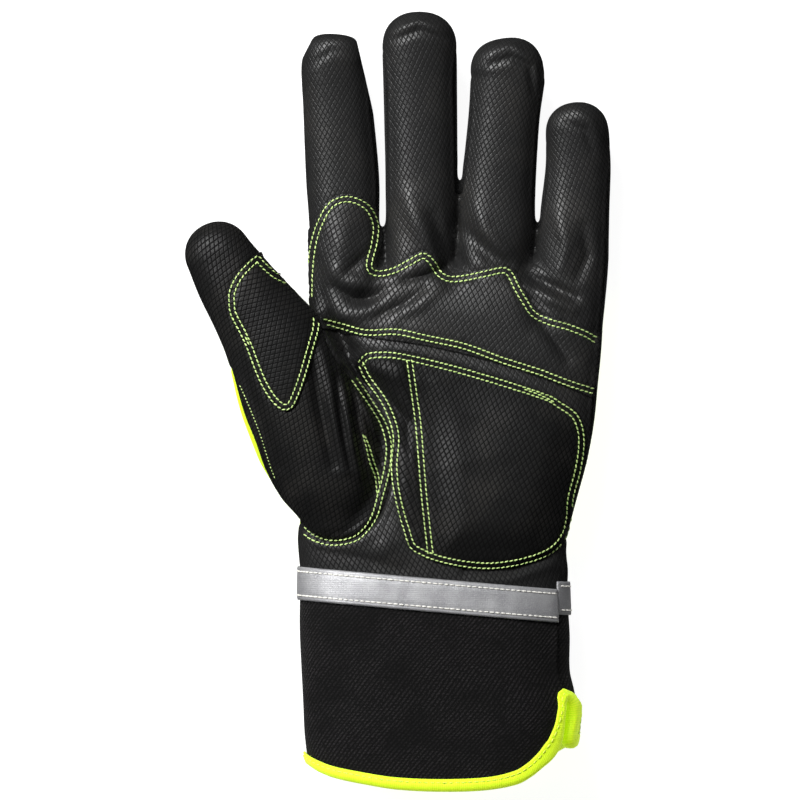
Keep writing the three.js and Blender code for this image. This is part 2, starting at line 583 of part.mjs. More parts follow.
// A closed slab over a grid of places in the flat, between two offsets
function slabSolid(columns, outer, inner) {
  const [wide, tall] = [columns.length, columns[0].length];
  const layers = [outer, inner].map((offset) =>
    columns.flat().map(({ round, angle, y }) =>
      angle === undefined ? cuffPoint(round, y, offset) : sleevePoint(angle, y, offset),
    ),
  );
  const at = (layer, i, j) => layer * wide * tall + i * tall + j;
  const faces = [];
  const quad = (a, b, c, d) => faces.push(a, b, c, a, c, d);
  for (let i = 0; i < wide - 1; i++) {
    for (let j = 0; j < tall - 1; j++) {
      quad(at(0, i, j), at(0, i + 1, j), at(0, i + 1, j + 1), at(0, i, j + 1));
      quad(at(1, i, j + 1), at(1, i + 1, j + 1), at(1, i + 1, j), at(1, i, j));
    }
    quad(at(0, i, 0), at(1, i, 0), at(1, i + 1, 0), at(0, i + 1, 0));
    quad(at(0, i + 1, tall - 1), at(1, i + 1, tall - 1), at(1, i, tall - 1), at(0, i, tall - 1));
  }
  for (let j = 0; j < tall - 1; j++) {
    quad(at(0, 0, j + 1), at(1, 0, j + 1), at(1, 0, j), at(0, 0, j));
    quad(at(0, wide - 1, j), at(1, wide - 1, j), at(1, wide - 1, j + 1), at(0, wide - 1, j + 1));
  }
  return solidOf(new THREE.BufferGeometry().setFromPoints(layers.flat()).setIndex(faces));
}

// The cuff's edge on one side of the split: places in the flat, closer together at the split
const edgeKnots = [
  ...backEdgeRows.map(({ round, y }) => new THREE.Vector3(-round, y, 0)).reverse(),
  new THREE.Vector3(0, splitTop, 0),
  ...palmEdgeRows.map(({ round, y }) => new THREE.Vector3(round, y, 0)),
];
const edgeCurve = new THREE.CatmullRomCurve3(edgeKnots, false, "centripetal");
const edgePlaces = edgeKnots.slice(1).flatMap((knot, n) => {
  const count = Math.ceil(knot.distanceTo(edgeKnots[n]) / edgeStretch);
  const share = (i) => (n + i / count) / (edgeKnots.length - 1);
  return Array.from({ length: count }, (_, i) => edgePlaceAt(share(i)));
});
edgePlaces.push(edgePlaceAt(1));

function edgePlaceAt(t) {
  const { x: round, y } = edgeCurve.getPoint(t);
  const level = new THREE.Vector3(1, 0, 0); // the edge's lie on the thumb side, where it meets itself
  const way = t > 0 && t < 1 ? edgeCurve.getTangent(t) : level;
  return { round, y, inRound: -way.y, inY: way.x };
}

function bindingWide(round) {
  return columnAt(bindingRows, "round", "wide", Math.abs(round));
}

// Half of the cuff, ruled from its edge up to the tape
function cuffHalfSolid(side) {
  const places = edgePlaces.filter(({ round }) => round * side > -0.01);
  const end = cuffHalf - seamGap;
  const columns = places.map(({ round, y }) => {
    const bottomRound = side * THREE.MathUtils.clamp(Math.abs(round), halfGap, end);
    const topRound = side * (halfGap + ((end - halfGap) * Math.abs(round)) / cuffHalf);
    const topY = tapeY(cuffPoint(topRound, tapeLine.left, 0).x) - halfGap;
    return [0, bindingWide(round) / (topY - y), 0.3, 0.5, 1].map((part) => ({
      round: THREE.MathUtils.lerp(bottomRound, topRound, part),
      y: THREE.MathUtils.lerp(y, topY, part),
    }));
  });
  return slabSolid(columns, 0, -cuffWall);
}

// One of the two lengths of tape, from the seam above the split to the thumb side
function tapeSolid(side, line) {
  const half = outerSides.sleeve / 2;
  const start = columnAt(angleTable, "round", "angle", splitLean + side * halfGap);
  const closest = 0.03; // radians between two places, and at the end clear of the other length
  const angles = [start];
  for (let i = -half; i <= half; i++) {
    const angle = (i / half) * Math.PI;
    if (angle - side * start > closest) angles.push(side * angle);
  }
  angles[angles.length - 1] -= (side * closest) / 3;
  const columns = angles.map((angle) => {
    const middle = tapeY(sleevePoint(angle, line.left, 0).x, line);
    return [-0.5, 0, 0.5].map((part) => ({ angle, y: middle + part * tapeWidth }));
  });
  return slabSolid(columns, cuffGap + tapeThick, cuffGap);
}

// The bound edge: a U of tape folded over the canvas, all the way round
function bindingSection(wide) {
  const fold = bindingThick + cuffGap;
  return [
    [wide, cuffGap], [wide, fold], [-fold, fold * 0.6], [-fold, -cuffWall - fold * 0.6],
    [wide, -cuffWall - fold], [wide, -cuffWall - cuffGap], [-cuffGap, -cuffWall - cuffGap],
    [-cuffGap, cuffGap],
  ];
}
function bindingSolid() {
  const rings = edgePlaces.slice(0, -1).map(({ round, y, inRound, inY }) =>
    bindingSection(bindingWide(round)).map(([inset, offset]) => {
      let place = round + inRound * inset;
      if (Math.abs(place) > cuffHalf) place -= 2 * cuffHalf * Math.sign(place);
      return cuffPoint(place, y + inY * inset, offset);
    }),
  );
  const count = rings[0].length;
  const faces = [];
  rings.forEach((_, r) => {
    for (let i = 0; i < count; i++) {
      const [a, b] = [r * count + i, r * count + ((i + 1) % count)];
      const onward = ((r + 1) % rings.length) * count - r * count;
      faces.push(a, b, b + onward, a, b + onward, a + onward);
    }
  });
  return solidOf(new THREE.BufferGeometry().setFromPoints(rings.flat()).setIndex(faces));
}

// Colours of the real materials
const finishes = {
  palmLeather: { color: "#232323", roughness: 0.5 },
  knit: { color: "#141414", roughness: 0.9 },
  hiVisFabric: { color: "#d4f020", roughness: 0.8 },
  canvas: { color: "#100e0d", roughness: 0.95 },
  tape: { color: "#8a8c90", roughness: 0.4 },
  binding: { color: "#d8fa1e", roughness: 0.7 },
};
const materials = Object.fromEntries(
  Object.entries(finishes).map(([name, finish]) => [
    name, new THREE.MeshStandardMaterial({ ...finish, metalness: 0, name }),
  ]),
);

function meshOf(name, solid, material) {
  const { numProp, numVert, vertProperties, triVerts } = solid.getMesh();
  const positions = new Float32Array(numVert * 3);
  for (let i = 0; i < numVert; i++)
    positions.set(vertProperties.subarray(i * numProp, i * numProp + 3), i * 3);
  const geometry = new THREE.BufferGeometry();
  geometry.setAttribute("position", new THREE.BufferAttribute(positions, 3));
  geometry.setIndex(new THREE.BufferAttribute(triVerts, 1));
  geometry.computeVertexNormals();
  const mesh = new THREE.Mesh(geometry, materials[material]);
  mesh.name = name;
  return mesh;
}

const glove = new THREE.Group();
glove.add(
  meshOf("palm_panel", palmPanel, "palmLeather"),
  meshOf("upper_palm_patch", upperPatch, "palmLeather"),
  meshOf("heel_pad", heelPad, "palmLeather"),
  meshOf("thumb_panel", thumbPanel, "palmLeather"),
  meshOf("thumb_patch", thumbPatch, "palmLeather"),
  meshOf("thumb_back", thumbBack, "knit"),
  meshOf("hand_back", handBack, "hiVisFabric"),
  meshOf("wrist_elastic", wristElastic, "knit"),
  meshOf("gusset_index_middle", strips[0], "knit"),
  meshOf("gusset_middle_ring", strips[1], "knit"),
  meshOf("gusset_ring_little", strips[2], "knit"),
  meshOf("outer_side_strip", strips[3], "knit"),
  meshOf("cuff_palm", cuffHalfSolid(1), "canvas"),
  meshOf("cuff_back", cuffHalfSolid(-1), "canvas"),
  meshOf("cuff_binding", bindingSolid(), "binding"),
  meshOf("tape_palm", tapeSolid(1, tapeLine), "tape"),
  meshOf("tape_back", tapeSolid(-1, backTapeLine), "tape"),
);
Object.keys(fingers).forEach((name, i) =>
  glove.add(meshOf(`${name}_back`, fingerBacks[i], "knit")),
);

// The origin lies under the middle of the glove, on the surface that it lies on
const middle = new THREE.Box3().setFromObject(glove).getCenter(new THREE.Vector3());
glove.position.set(-middle.x, -middle.y, 0);

export default glove;
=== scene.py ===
# An insulated mechanic glove for the left hand, unworn, lying on its back with the palm up.
# Lengths in the tables are millimetres on the glove's own drawing, where x runs to the little
# finger, y to the fingertips and z up from the floor. toFrame brings them into the frame.
import bpy
import bmesh
import math
import random
import time
import numpy as np
from functools import partial
from mathutils import Matrix, Vector, kdtree
from mathutils.bvhtree import BVHTree


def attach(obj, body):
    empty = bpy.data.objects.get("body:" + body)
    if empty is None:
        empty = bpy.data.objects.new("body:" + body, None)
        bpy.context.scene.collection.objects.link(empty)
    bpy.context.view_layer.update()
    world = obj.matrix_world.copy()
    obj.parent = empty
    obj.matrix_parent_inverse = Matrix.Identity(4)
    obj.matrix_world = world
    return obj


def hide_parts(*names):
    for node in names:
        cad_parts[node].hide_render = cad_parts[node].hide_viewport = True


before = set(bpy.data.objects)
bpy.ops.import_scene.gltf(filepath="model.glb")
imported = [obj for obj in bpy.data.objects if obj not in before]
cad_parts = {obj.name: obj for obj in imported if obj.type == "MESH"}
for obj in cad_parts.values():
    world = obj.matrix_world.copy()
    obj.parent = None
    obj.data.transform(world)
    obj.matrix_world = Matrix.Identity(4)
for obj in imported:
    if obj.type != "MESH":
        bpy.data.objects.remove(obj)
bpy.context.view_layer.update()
random.seed(11)
started = time.time()


def stage(words):
    print(f"[glove] {words} ({time.time() - started:.1f} s)")


def table(columns, *rows):  # rows with named columns
    return [dict(zip(columns.split(), row)) for row in rows]


def meshOf(name, bm):  # the bmesh is used up
    data = bpy.data.meshes.new(name)
    bm.to_mesh(data)
    bm.free()
    return data


def inScene(name, data):  # a linked object that holds the data
    made = bpy.data.objects.new(name, data)
    bpy.context.collection.objects.link(made)
    return made


drawing = {"x": 0.000788, "y": 0.000448, "unit": 0.001}  # where it lies in the frame, in metres
toFrame = Matrix.Translation((drawing["x"], drawing["y"], 0)) @ Matrix.Scale(drawing["unit"], 4)

# Camera straight above, as the photograph has it: 288 mm across the frame at the palm's height
view = {"distance": 6.0, "across": 0.288, "level": 0.02, "sensor": 36, "farthest": 20}
cameraData = bpy.data.cameras.new("camera")
cameraData.sensor_width = view["sensor"]
cameraData.lens = view["sensor"] * (view["distance"] - view["level"]) / view["across"]
cameraData.clip_end = view["farthest"]
camera = inScene("camera", cameraData)
camera.location = (drawing["x"], drawing["y"], view["distance"])
bpy.context.scene.camera = camera

# Soft studio light: a big box high on the upper left, weaker ones above the fingertips and on
# the right, and a dim room that is dark at its horizon, so that the sides stay deep
lamps = table(
    "name x y z long wide power",
    ("key", -0.62, 0.6, 0.9, 1.3, 0.45, 27.0),
    ("top", 0.1, 1.2, 1.6, 1.4, 1.4, 3.5),
    ("fill", 1.2, -0.4, 1.3, 1.4, 1.4, 1.0),
)
room = {"strength": 0.1, "horizon": 0.15, "zenith": 0.95}
for lamp in lamps:
    lampData = bpy.data.lights.new(lamp["name"], "AREA")
    lampData.shape = "RECTANGLE"
    lampData.size, lampData.size_y = lamp["long"], lamp["wide"]
    lampData.energy = lamp["power"]
    lampObject = inScene(lamp["name"], lampData)
    lampObject.location = (lamp["x"], lamp["y"], lamp["z"])
    lampObject.rotation_euler = (-lampObject.location).to_track_quat("-Z", "Y").to_euler()
bpy.context.scene.view_settings.view_transform = "Standard"


def srgb(code):  # sRGB hex to linear
    parts = [int(code[i : i + 2], 16) / 255 for i in (1, 3, 5)]
    return (*[c / 12.92 if c <= 0.04045 else ((c + 0.055) / 1.055) ** 2.4 for c in parts], 1)


def plug(tree, socket, value):  # value: a link, a hex colour or a number; None is left out
    if isinstance(value, bpy.types.NodeSocket):
        tree.links.new(value, socket)
    elif value is not None:
        socket.default_value = srgb(value) if isinstance(value, str) else value


usual = {"MapRange": {"interpolation_type": "SMOOTHSTEP"}, "Mix": {"data_type": "RGBA"}}


# Adds a node with its settings and links. The inputs go to its sockets in their order, and what
# comes back is its first output, or the one that out names
def addNode(tree, kind, *inputs, out=None, **settings):
    made = tree.nodes.new("ShaderNode" + kind)
    for name, value in {**usual.get(kind, {}), **settings}.items():
        setattr(made, name, value)
    for socket, value in zip([s for s in made.inputs if s.enabled], inputs):
        plug(tree, socket, value)
    return made.outputs[out] if out else next(s for s in made.outputs if s.enabled)


world = bpy.data.worlds.new("room")
world.use_nodes = True
add = partial(addNode, world.node_tree)
skyward = add("SeparateXYZ", add("TexCoord", out="Generated"), out="Z")
glow = add(
    "MapRange", skyward, room["horizon"], room["zenith"], 0.0, room["strength"],
    interpolation_type="LINEAR",
)
background = world.node_tree.nodes["Background"].inputs
plug(world.node_tree, background["Strength"], glow)
plug(world.node_tree, background["Color"], "#ffffff")
bpy.context.scene.world = world


def newMaterial(name, looks, *choices):  # looks adds its nodes and says what the shader gets
    material = bpy.data.materials.new(name)
    material.use_nodes = True
    tree = material.node_tree
    shader = tree.nodes["Principled BSDF"]
    for socket, value in looks(partial(addNode, tree), *choices).items():
        plug(tree, shader.inputs[socket], value)
    return material


def weave(add, wide, tall, turn=0.0):  # across and along a cloth, in repeats of so many mm
    flat = add(
        "Mapping", add("UVMap", uv_map="cloth"), None, (0, 0, math.radians(turn)),
        (1 / wide, 1 / tall, 1),
    )
    return [add("SeparateXYZ", flat, out=axis) for axis in "XY"]


# PU-coated leather with a pressed lattice of diamonds, 1.94 by 2.96 mm: black, the tops half
# glossy and worn a little greyer, the grooves narrow, dull and painted near black, a painted
# shade in the recesses. shine is the tops' gloss and face their colour. Towards the wrist it is
# painted darker, a painted shade where the leather falls away towards the tape, and duller too
def leatherLook(add, shine, face):
    across, along = weave(add, 1.94, 2.96)
    first, second = [
        add("Math", add("Math", across, along, operation=way), 0.5, operation="PINGPONG")
        for way in ("ADD", "SUBTRACT")
    ]
    nearest = add("Math", first, second, operation="MINIMUM")
    tops = add("MapRange", nearest, 0.04, 0.19)
    place = add("TexCoord", out="Object")
    worn = add("TexNoise", place, 55.0, 4.0)
    patchy = add("TexNoise", place, 330.0, 2.0)
    grain = add("TexNoise", place, 2600.0, 2.0)
    wrist = add("MapRange", add("SeparateXYZ", place, out="Y"), -0.056, -0.045, 1.0, 0.0)
    # painted shade: the grooves are coloured near black
    colour = add("Mix", tops, "#030303", face)
    # painted shade: the colour darkens towards the wrist, where the leather falls away towards the
    # tape; the same mask also makes it rougher
    colour = add("Mix", wrist, colour, "#040404")
    worn = add("MapRange", worn, 0.42, 0.75, 0.0, 0.4)
    greyer = add("Math", worn, tops, operation="MULTIPLY")
    colour = add("Mix", greyer, colour, "#3a3835")
    dull = add("MapRange", tops, 0.0, 1.0, 0.5, 0.0)
    rough = add("Math", add("MapRange", patchy, 0.3, 0.7, 0.33, 0.45), dull)
    rough = add("Math", wrist, 0.3, rough, operation="MULTIPLY_ADD")
    ridge = add("MapRange", nearest, 0.0, 0.22)
    height = add("Math", patchy, 1.5, ridge, operation="MULTIPLY_ADD")
    height = add("Math", grain, 0.15, height, operation="MULTIPLY_ADD")
    return {
        "Base Color": colour, "Roughness": rough, "IOR": 1.5, "Specular IOR Level": shine,
        "Normal": add("Bump", 1.0, 0.00009, None, height),
    }


# Polyester rib knit: black, dull, in fine zigzag wales about 1 mm apart
def knitLook(add):
    across, along = weave(add, 1.0, 1.3)
    sway = add("Math", along, 0.5, operation="PINGPONG")
    wale = add("Math", sway, 0.9, across, operation="MULTIPLY_ADD")
    wale = add("Math", wale, 0.5, operation="PINGPONG")
    loop = add("Math", along, 2.0, operation="MULTIPLY")
    loop = add("MapRange", add("Math", loop, 0.5, operation="PINGPONG"), 0.0, 0.5)
    height = add("MapRange", wale, 0.0, 0.45)
    height = add("Math", loop, 0.3, height, operation="MULTIPLY_ADD")
    return {
        "Base Color": add("Mix", height, "#050505", "#1b1b1b"),
        "Roughness": 0.9, "Sheen Weight": 0.05, "Specular IOR Level": 0.2,
        "Normal": add("Bump", 1.0, 0.0003, None, height),
    }


# Fluorescent polyester weave: bright yellow-green, plain weave drawn at 0.9 mm so that it shows
def hiVisLook(add):
    warp, weft = [
        add("Math", add("Math", way, 2 * math.pi, operation="MULTIPLY"), operation="SINE")
        for way in weave(add, 0.9, 0.9)
    ]
    crossed = add("Math", warp, weft, operation="MULTIPLY")
    crossed = add("MapRange", crossed, -1.0, 1.0)
    fade = add("TexNoise", add("TexCoord", out="Object"), 45.0, 3.0)
    fade = add("MapRange", fade, 0.45, 0.8, 0.0, 0.4)
    colour = add("Mix", crossed, "#c2e60e", "#e2ff26")
    return {
        "Base Color": add("Mix", fade, colour, "#cdf01c"),
        "Roughness": 0.75, "Sheen Weight": 0.1,
        # painted glow: a constant emission that stands in for the fabric's real fluorescence,
        # shining whatever light falls on it
        "Emission Color": "#dcff10", "Emission Strength": 0.22,  # it fluoresces
        "Normal": add("Bump", 0.7, 0.0002, None, crossed),
    }


# Rubberised cotton canvas in a steep twill: near black, dull, its ribs 1.4 mm apart
def canvasLook(add):
    across, along = weave(add, 1.4, 1.4, turn=-46)
    thread = add("Math", add("Math", along, across), 0.5, operation="PINGPONG")
    place = add("TexCoord", out="Object")
    lint = add("TexNoise", place, 1500.0, 3.0)
    worn = add("TexNoise", place, 70.0, 3.0)
    height = add("Math", across, 0.5, operation="PINGPONG")
    height = add("MapRange", height, 0.04, 0.42)
    for flaw, low, high, least in (
        (thread, 0.0, 0.3, 0.4), (lint, 0.35, 0.6, 0.1), (worn, 0.3, 0.6, 0.35),
    ):
        flaw = add("MapRange", flaw, low, high, least, 1.0)
        height = add("Math", height, flaw, operation="MULTIPLY")
    return {
        "Base Color": add("Mix", height, "#040404", "#282627"),
        "Roughness": 0.88, "Specular IOR Level": 0.15, "Sheen Weight": 0.02,
        "Normal": add("Bump", 1.0, 0.0002, None, height),
    }


# Reflective tape of glass beads on cloth: mid grey with a dull silver gloss over its fine weave
def tapeLook(add):
    threads = [add("Math", way, 0.5, operation="PINGPONG") for way in weave(add, 0.7, 0.7)]
    crossed = add("MapRange", add("Math", *threads, operation="MINIMUM"), 0.0, 0.25)
    place = add("TexCoord", out="Object")
    beads = add("TexNoise", place, 3200.0, 1.0)
    cloudy = add("MapRange", add("TexNoise", place, 110.0, 4.0), 0.35, 0.7)
    colour = add("Mix", cloudy, "#8e8e91", "#a4a4a6")
    bright = add("MapRange", beads, 0.4, 0.7, 0.0, 0.5)
    height = add("Math", crossed, 0.5, beads, operation="MULTIPLY_ADD")
    return {
        "Base Color": add("Mix", bright, colour, "#bababc"),
        "Roughness": 0.42, "Metallic": 0.35, "Normal": add("Bump", 0.6, 0.0001, None, height),
    }


# Folded polyester binding: fluorescent yellow-green, matt, finely ribbed across its length
def bindingLook(add):
    across, along = weave(add, 0.8, 0.8)
    rib = add("MapRange", add("Math", across, 0.5, operation="PINGPONG"), 0.05, 0.45)
    thread = add("MapRange", add("Math", along, 0.5, operation="PINGPONG"), 0.0, 0.4)
    thread = add("MapRange", thread, 0.0, 1.0, 0.7, 1.0)
    height = add("Math", rib, thread, operation="MULTIPLY")
    return {
        "Base Color": add("Mix", height, "#cdf210", "#e2ff28"),
        "Roughness": 0.7, "Sheen Weight": 0.1,
        # painted glow: a constant emission that stands in for the binding's real fluorescence,
        # shining whatever light falls on it
        "Emission Color": "#dcff10", "Emission Strength": 0.25,  # it fluoresces
        "Normal": add("Bump", 0.5, 0.0001, None, height),
    }


# Bonded polyester thread: a soft gloss, pale on top and painted darker towards its ends, a painted
# shade where it goes down into the leather, with some random tone along its twist
def threadLook(add, pale, deep):
    flat = add("UVMap", uv_map="cloth")
    along, around = [add("SeparateXYZ", flat, out=axis) for axis in "XY"]
    twist = add("TexNoise", add("TexCoord", out="Object"), 1500.0, 2.0)
    # painted shade: each stitch darkens towards its ends, where it dips into the leather
    ends = add("MapRange", add("Math", along, operation="ABSOLUTE"), 0.6, 1.0)
    endShadeAndTone = add("Math", ends, add("MapRange", twist, 0.35, 0.7, 0.0, 0.4))
    ply = add("Math", along, 9.0, around, operation="MULTIPLY_ADD")
    height = add("Math", twist, add("Math", ply, operation="SINE"))
    return {
        "Base Color": add("Mix", endShadeAndTone, pale, deep), "Roughness": 0.5,
        "Normal": add("Bump", 0.5, 0.00006, None, height),
    }


# Brushed fleece lining: dark grey, without gloss
def fleeceLook(add):
    tufts = add("TexNoise", add("TexCoord", out="Object"), 700.0, 4.0)
    shade = add("MapRange", tufts, 0.35, 0.7)
    return {
        "Base Color": add("Mix", shade, "#26262a", "#3c3c42"),
        "Roughness": 1.0, "Sheen Weight": 0.4, "Normal": add("Bump", 0.8, 0.0006, None, tufts),
    }


# Painted studio floor and backdrop: pale and dull, lit evenly from within like a light table
def studioLook(add):
    speckle = add("TexNoise", add("TexCoord", out="Object"), 4.0, 2.0)
    speckle = add("MapRange", speckle, 0.3, 0.7)
    return {
        "Base Color": add("Mix", speckle, "#a4a4a4", "#a8a8a7"), "Roughness": 0.9,
        "Emission Color": "#ffffff", "Emission Strength": 0.93,
    }


leather = newMaterial("PU_leather_embossed", leatherLook, 0.46, "#1d1d1d")
dullLeather = newMaterial("PU_leather_embossed_dull", leatherLook, 0.18, "#181818")
knit = newMaterial("polyester_rib_knit", knitLook)
hiVis = newMaterial("fluorescent_polyester", hiVisLook)
canvas = newMaterial("cotton_canvas_twill", canvasLook)
reflective = newMaterial("reflective_bead_tape", tapeLook)
bindingCloth = newMaterial("polyester_binding", bindingLook)
fleece = newMaterial("brushed_fleece", fleeceLook)
limeThread = newMaterial("polyester_thread_lime", threadLook, "#e0f89e", "#4a8f2c")
whiteThread = newMaterial("polyester_thread_white", threadLook, "#f6f4ec", "#cbc9c2")
yellowThread = newMaterial("polyester_thread_yellow", threadLook, "#eeff62", "#b4da0c")
studioPaint = newMaterial("matt_paint", studioLook)

studio = {"floor": 8, "backdrop": 9}  # half the floor's side and the dome's radius, in metres
for name, size in studio.items():
    bm = bmesh.new()
    if name == "floor":
        bmesh.ops.create_grid(bm, x_segments=1, y_segments=1, size=size)
    else:
        bmesh.ops.create_uvsphere(bm, u_segments=32, v_segments=16, radius=size)
    surround = inScene(name, meshOf(name, bm))
    surround.data.materials.append(studioPaint)
    surround.visible_glossy = False  # it doesn't shine on the leather's sides
    if name == "backdrop":
        surround.visible_diffuse = False
        surround.visible_shadow = False
stage("camera, light and materials")

# The hand's form: the palm and wrist as a tube, the fingers and the thumb as tubes with domes
sleeveColumns = "left right top bottom ground"
sleeve = {
    "power": 2.5,
    "sides": 96,
    "step": 2.5,
    "rows": table(
        "y " + sleeveColumns,
        (50, -27, 69, 19, 7, 0), (47, -31, 72.5, 23.5, 2.5, 0), (40, -32, 73.2, 27.5, -1, 0),
        (30, -31.5, 73.2, 30, -2, 0), (18, -30.5, 72.6, 31, -2, 0),
        (6, -29.5, 71.4, 31.5, -2, 0), (-8, -30.5, 70, 32.5, -2, 0),
        (-22, -32.5, 67.4, 34, -2, 0), (-36, -35, 63.6, 35, -2, 0),
        (-48, -36.8, 60.6, 35, -2, 0), (-55, -36.6, 59.9, 35, -1.6, 1.25),
        (-61, -36, 60.6, 35.2, -1.2, 1.25), (-68, -36, 60.3, 36, -1, 1.25),
        (-84, -36.2, 61, 38, -1, 1.25), (-97, -35.8, 60.8, 39.6, -1, 1.25),
        (-104, -35.4, 62.3, 40.4, -1, 1.25), (-112, -34.9, 63.9, 41.3, -1, 1.25),
        (-121, -34.3, 63.4, 42.3, -1, 1.25), (-142, -31.6, 61.8, 44, -1, 1.25),
    ),
}
limbColumns = "x y half z thick"
limbs = {
    "index": {
        "tip": (-23.1, 131.8, 21), "dome": 2.9,
        "rows": table(
            limbColumns,
            (-17.3, 30, 14.6, 14.5, 12.6), (-18.9, 54, 13.9, 13.6, 12.4),
            (-20, 63, 12.8, 13.7, 12.3), (-20.7, 80, 13.3, 14, 12),
            (-22.4, 105, 12.6, 16, 11.6), (-24, 119.5, 11.8, 18.4, 11),
        ),
    },
    "middle": {
        "tip": (7.2, 140, 21.5), "dome": 2.2,
        "rows": table(
            limbColumns,
            (5.6, 30, 13.3, 14.5, 12.8), (7.3, 54, 13.1, 13.6, 12.6),
            (7.6, 63, 12.8, 13.7, 12.5), (7.75, 80, 13.05, 14, 12.2), (7.4, 106, 13.3, 15.8, 11.8),
            (7, 127.5, 13.5, 18.8, 11.2),
        ),
    },
    "ring": {
        "tip": (36.9, 130.3, 21), "dome": 2.5,
        "rows": table(
            limbColumns,
            (32.2, 30, 13.1, 14.5, 12.6), (34, 52, 13.8, 13.6, 12.4),
            (34.9, 64, 13.85, 13.8, 12.2), (35.4, 76, 13.5, 14, 12), (37.4, 101, 12.9, 16, 11.6),
            (38.9, 116.5, 13.5, 18.2, 11),
        ),
    },
    "little": {
        "tip": (62.6, 107.3, 19.5), "dome": 2.2,
        "rows": table(
            limbColumns,
            (59.4, 26, 13.6, 14.2, 12.2), (61.5, 48, 13.6, 13.3, 11.9),
            (62.6, 60, 12.8, 13.5, 11.7), (63.2, 70, 12.4, 13.7, 11.4), (64.2, 84, 11.8, 15, 10.8),
            (63.9, 96, 11.5, 16.8, 10.2),
        ),
    },
    "thumb": {
        "tip": (-70.4, 63.2, 27), "dome": 2.1,
        "heel": (-22.4, -50.2, 25),
        "rows": table(
            limbColumns,
            (-22.8, -44, 11.5, 25, 9), (-24.4, -32, 18.6, 25, 14), (-28.6, -15, 23, 25.5, 15.8),
            (-37, 2, 21.5, 26.5, 16), (-44.2, 18.4, 18.6, 27.2, 15),
            (-51.7, 30.8, 15.9, 27.4, 13.6), (-59.9, 43.2, 13.9, 27.2, 12.4),
            (-65.2, 52, 12.2, 27, 11.2),
        ),
    },
}
limbShape = {"power": 2.15, "sides": 44, "steps": 5, "domeRings": 7, "domeReach": 0.97}


def hermite(p, q, before, after, t):  # from p to q at t, with its slopes at either end
    return (
        p * (2 * t**3 - 3 * t**2 + 1) + q * (3 * t**2 - 2 * t**3)
        + before * (t**3 - 2 * t**2 + t) + after * (t**3 - t**2)
    )


def columnAt(rows, key, name, at):  # one column of a table at a key, through its rows smoothly
    rows = rows if rows[-1][key] > rows[0][key] else rows[::-1]
    last = len(rows) - 1
    if at <= rows[0][key]:
        return rows[0][name]
    if at >= rows[last][key]:
        return rows[last][name]
    i = next(n for n in range(last) if at <= rows[n + 1][key])

    def slope(n):
        low, high = rows[max(n - 1, 0)], rows[min(n + 1, last)]
        return (high[name] - low[name]) / (high[key] - low[key])

    span = rows[i + 1][key] - rows[i][key]
    t = (at - rows[i][key]) / span
    return hermite(rows[i][name], rows[i + 1][name], slope(i) * span, slope(i + 1) * span, t)


def curveOf(rows, key, name, low, high, count=240):  # the same as arrays, for np.interp
    keys = np.linspace(low, high, count)
    return keys, np.array([columnAt(rows, key, name, k) for k in keys])


def ovalPoint(angle, half, thick, power):
    c, s = math.cos(angle), math.sin(angle)
    return (
        half * math.copysign(abs(c) ** (2 / power), c),
        thick * math.copysign(abs(s) ** (2 / power), s),
    )


def oval(shape, half, thick):  # a section as points across and up from its middle
    angles = [2 * math.pi * i / shape["sides"] for i in range(shape["sides"])]
    return [ovalPoint(angle, half, thick, shape["power"]) for angle in angles]


def loft(bm, rings, closed=False):  # bridged rings, a face on each end unless they close a loop
    loops, corners = [], []
    for ring in rings:
        verts = bmesh.ops.create_circle(bm, segments=len(ring), radius=1)["verts"]
        for vert, place in zip(verts, ring):
            vert.co = place
        corners += verts
        loops.append(list({edge for vert in verts for edge in vert.link_edges}))
    for lower, upper in zip(loops, loops[1:] + (loops[:1] if closed else [])):
        bmesh.ops.bridge_loops(bm, edges=lower + upper)
    for end in () if closed else (loops[0], loops[-1]):
        bmesh.ops.contextual_create(bm, geom=end)
    return corners


def sleeveRing(y):
    left, right, top, bottom, ground = [
        columnAt(sleeve["rows"], "y", name, y) for name in sleeveColumns.split()
    ]
    return [
        Vector(((left + right) / 2 + side, y, max((top + bottom) / 2 + up, ground)))
        for side, up in oval(sleeve, (right - left) / 2, (top - bottom) / 2)
    ]


def limbRings(limb):
    rows, tip = limb["rows"], limb["tip"]
    steps = limbShape["steps"]
    keyed = [{**row, "at": n} for n, row in enumerate(rows)]

    def ringAt(centre, way, half, thick):
        return [
            Vector((centre[0] + way[1] * side, centre[1] - way[0] * side, max(centre[2] + up, 0)))
            for side, up in oval(limbShape, half, thick)
        ]

    def heading(first, second):
        return Vector((second[0] - first[0], second[1] - first[1])).normalized()

    def dome(row, end, way):
        made = []
        for n in range(1, limbShape["domeRings"] + 1):
            turn = n / limbShape["domeRings"] * math.pi / 2 * limbShape["domeReach"]
            step = math.sin(turn)
            shrink = (1 - step ** limb["dome"]) ** (1 / limb["dome"])
            centre = Vector((row["x"], row["y"], row["z"])).lerp(Vector(end), step)
            made.append(ringAt(centre, way, row["half"] * shrink, row["thick"] * shrink))
        return made

    rings = []
    for at in [n / steps for n in range((len(rows) - 1) * steps + 1)]:
        row = {name: columnAt(keyed, "at", name, at) for name in limbColumns.split()}
        before, after = [
            [columnAt(keyed, "at", name, at + shift) for name in ("x", "y")]
            for shift in (-0.1, 0.1)
        ]
        centre = (row["x"], row["y"], row["z"])
        rings.append(ringAt(centre, heading(before, after), row["half"], row["thick"]))
    last, first = rows[-1], rows[0]
    rings += dome(last, tip, heading((last["x"], last["y"]), tip))
    if "heel" in limb:
        way = heading(limb["heel"], (first["x"], first["y"]))
        rings = dome(first, limb["heel"], way)[::-1] + rings
    return rings


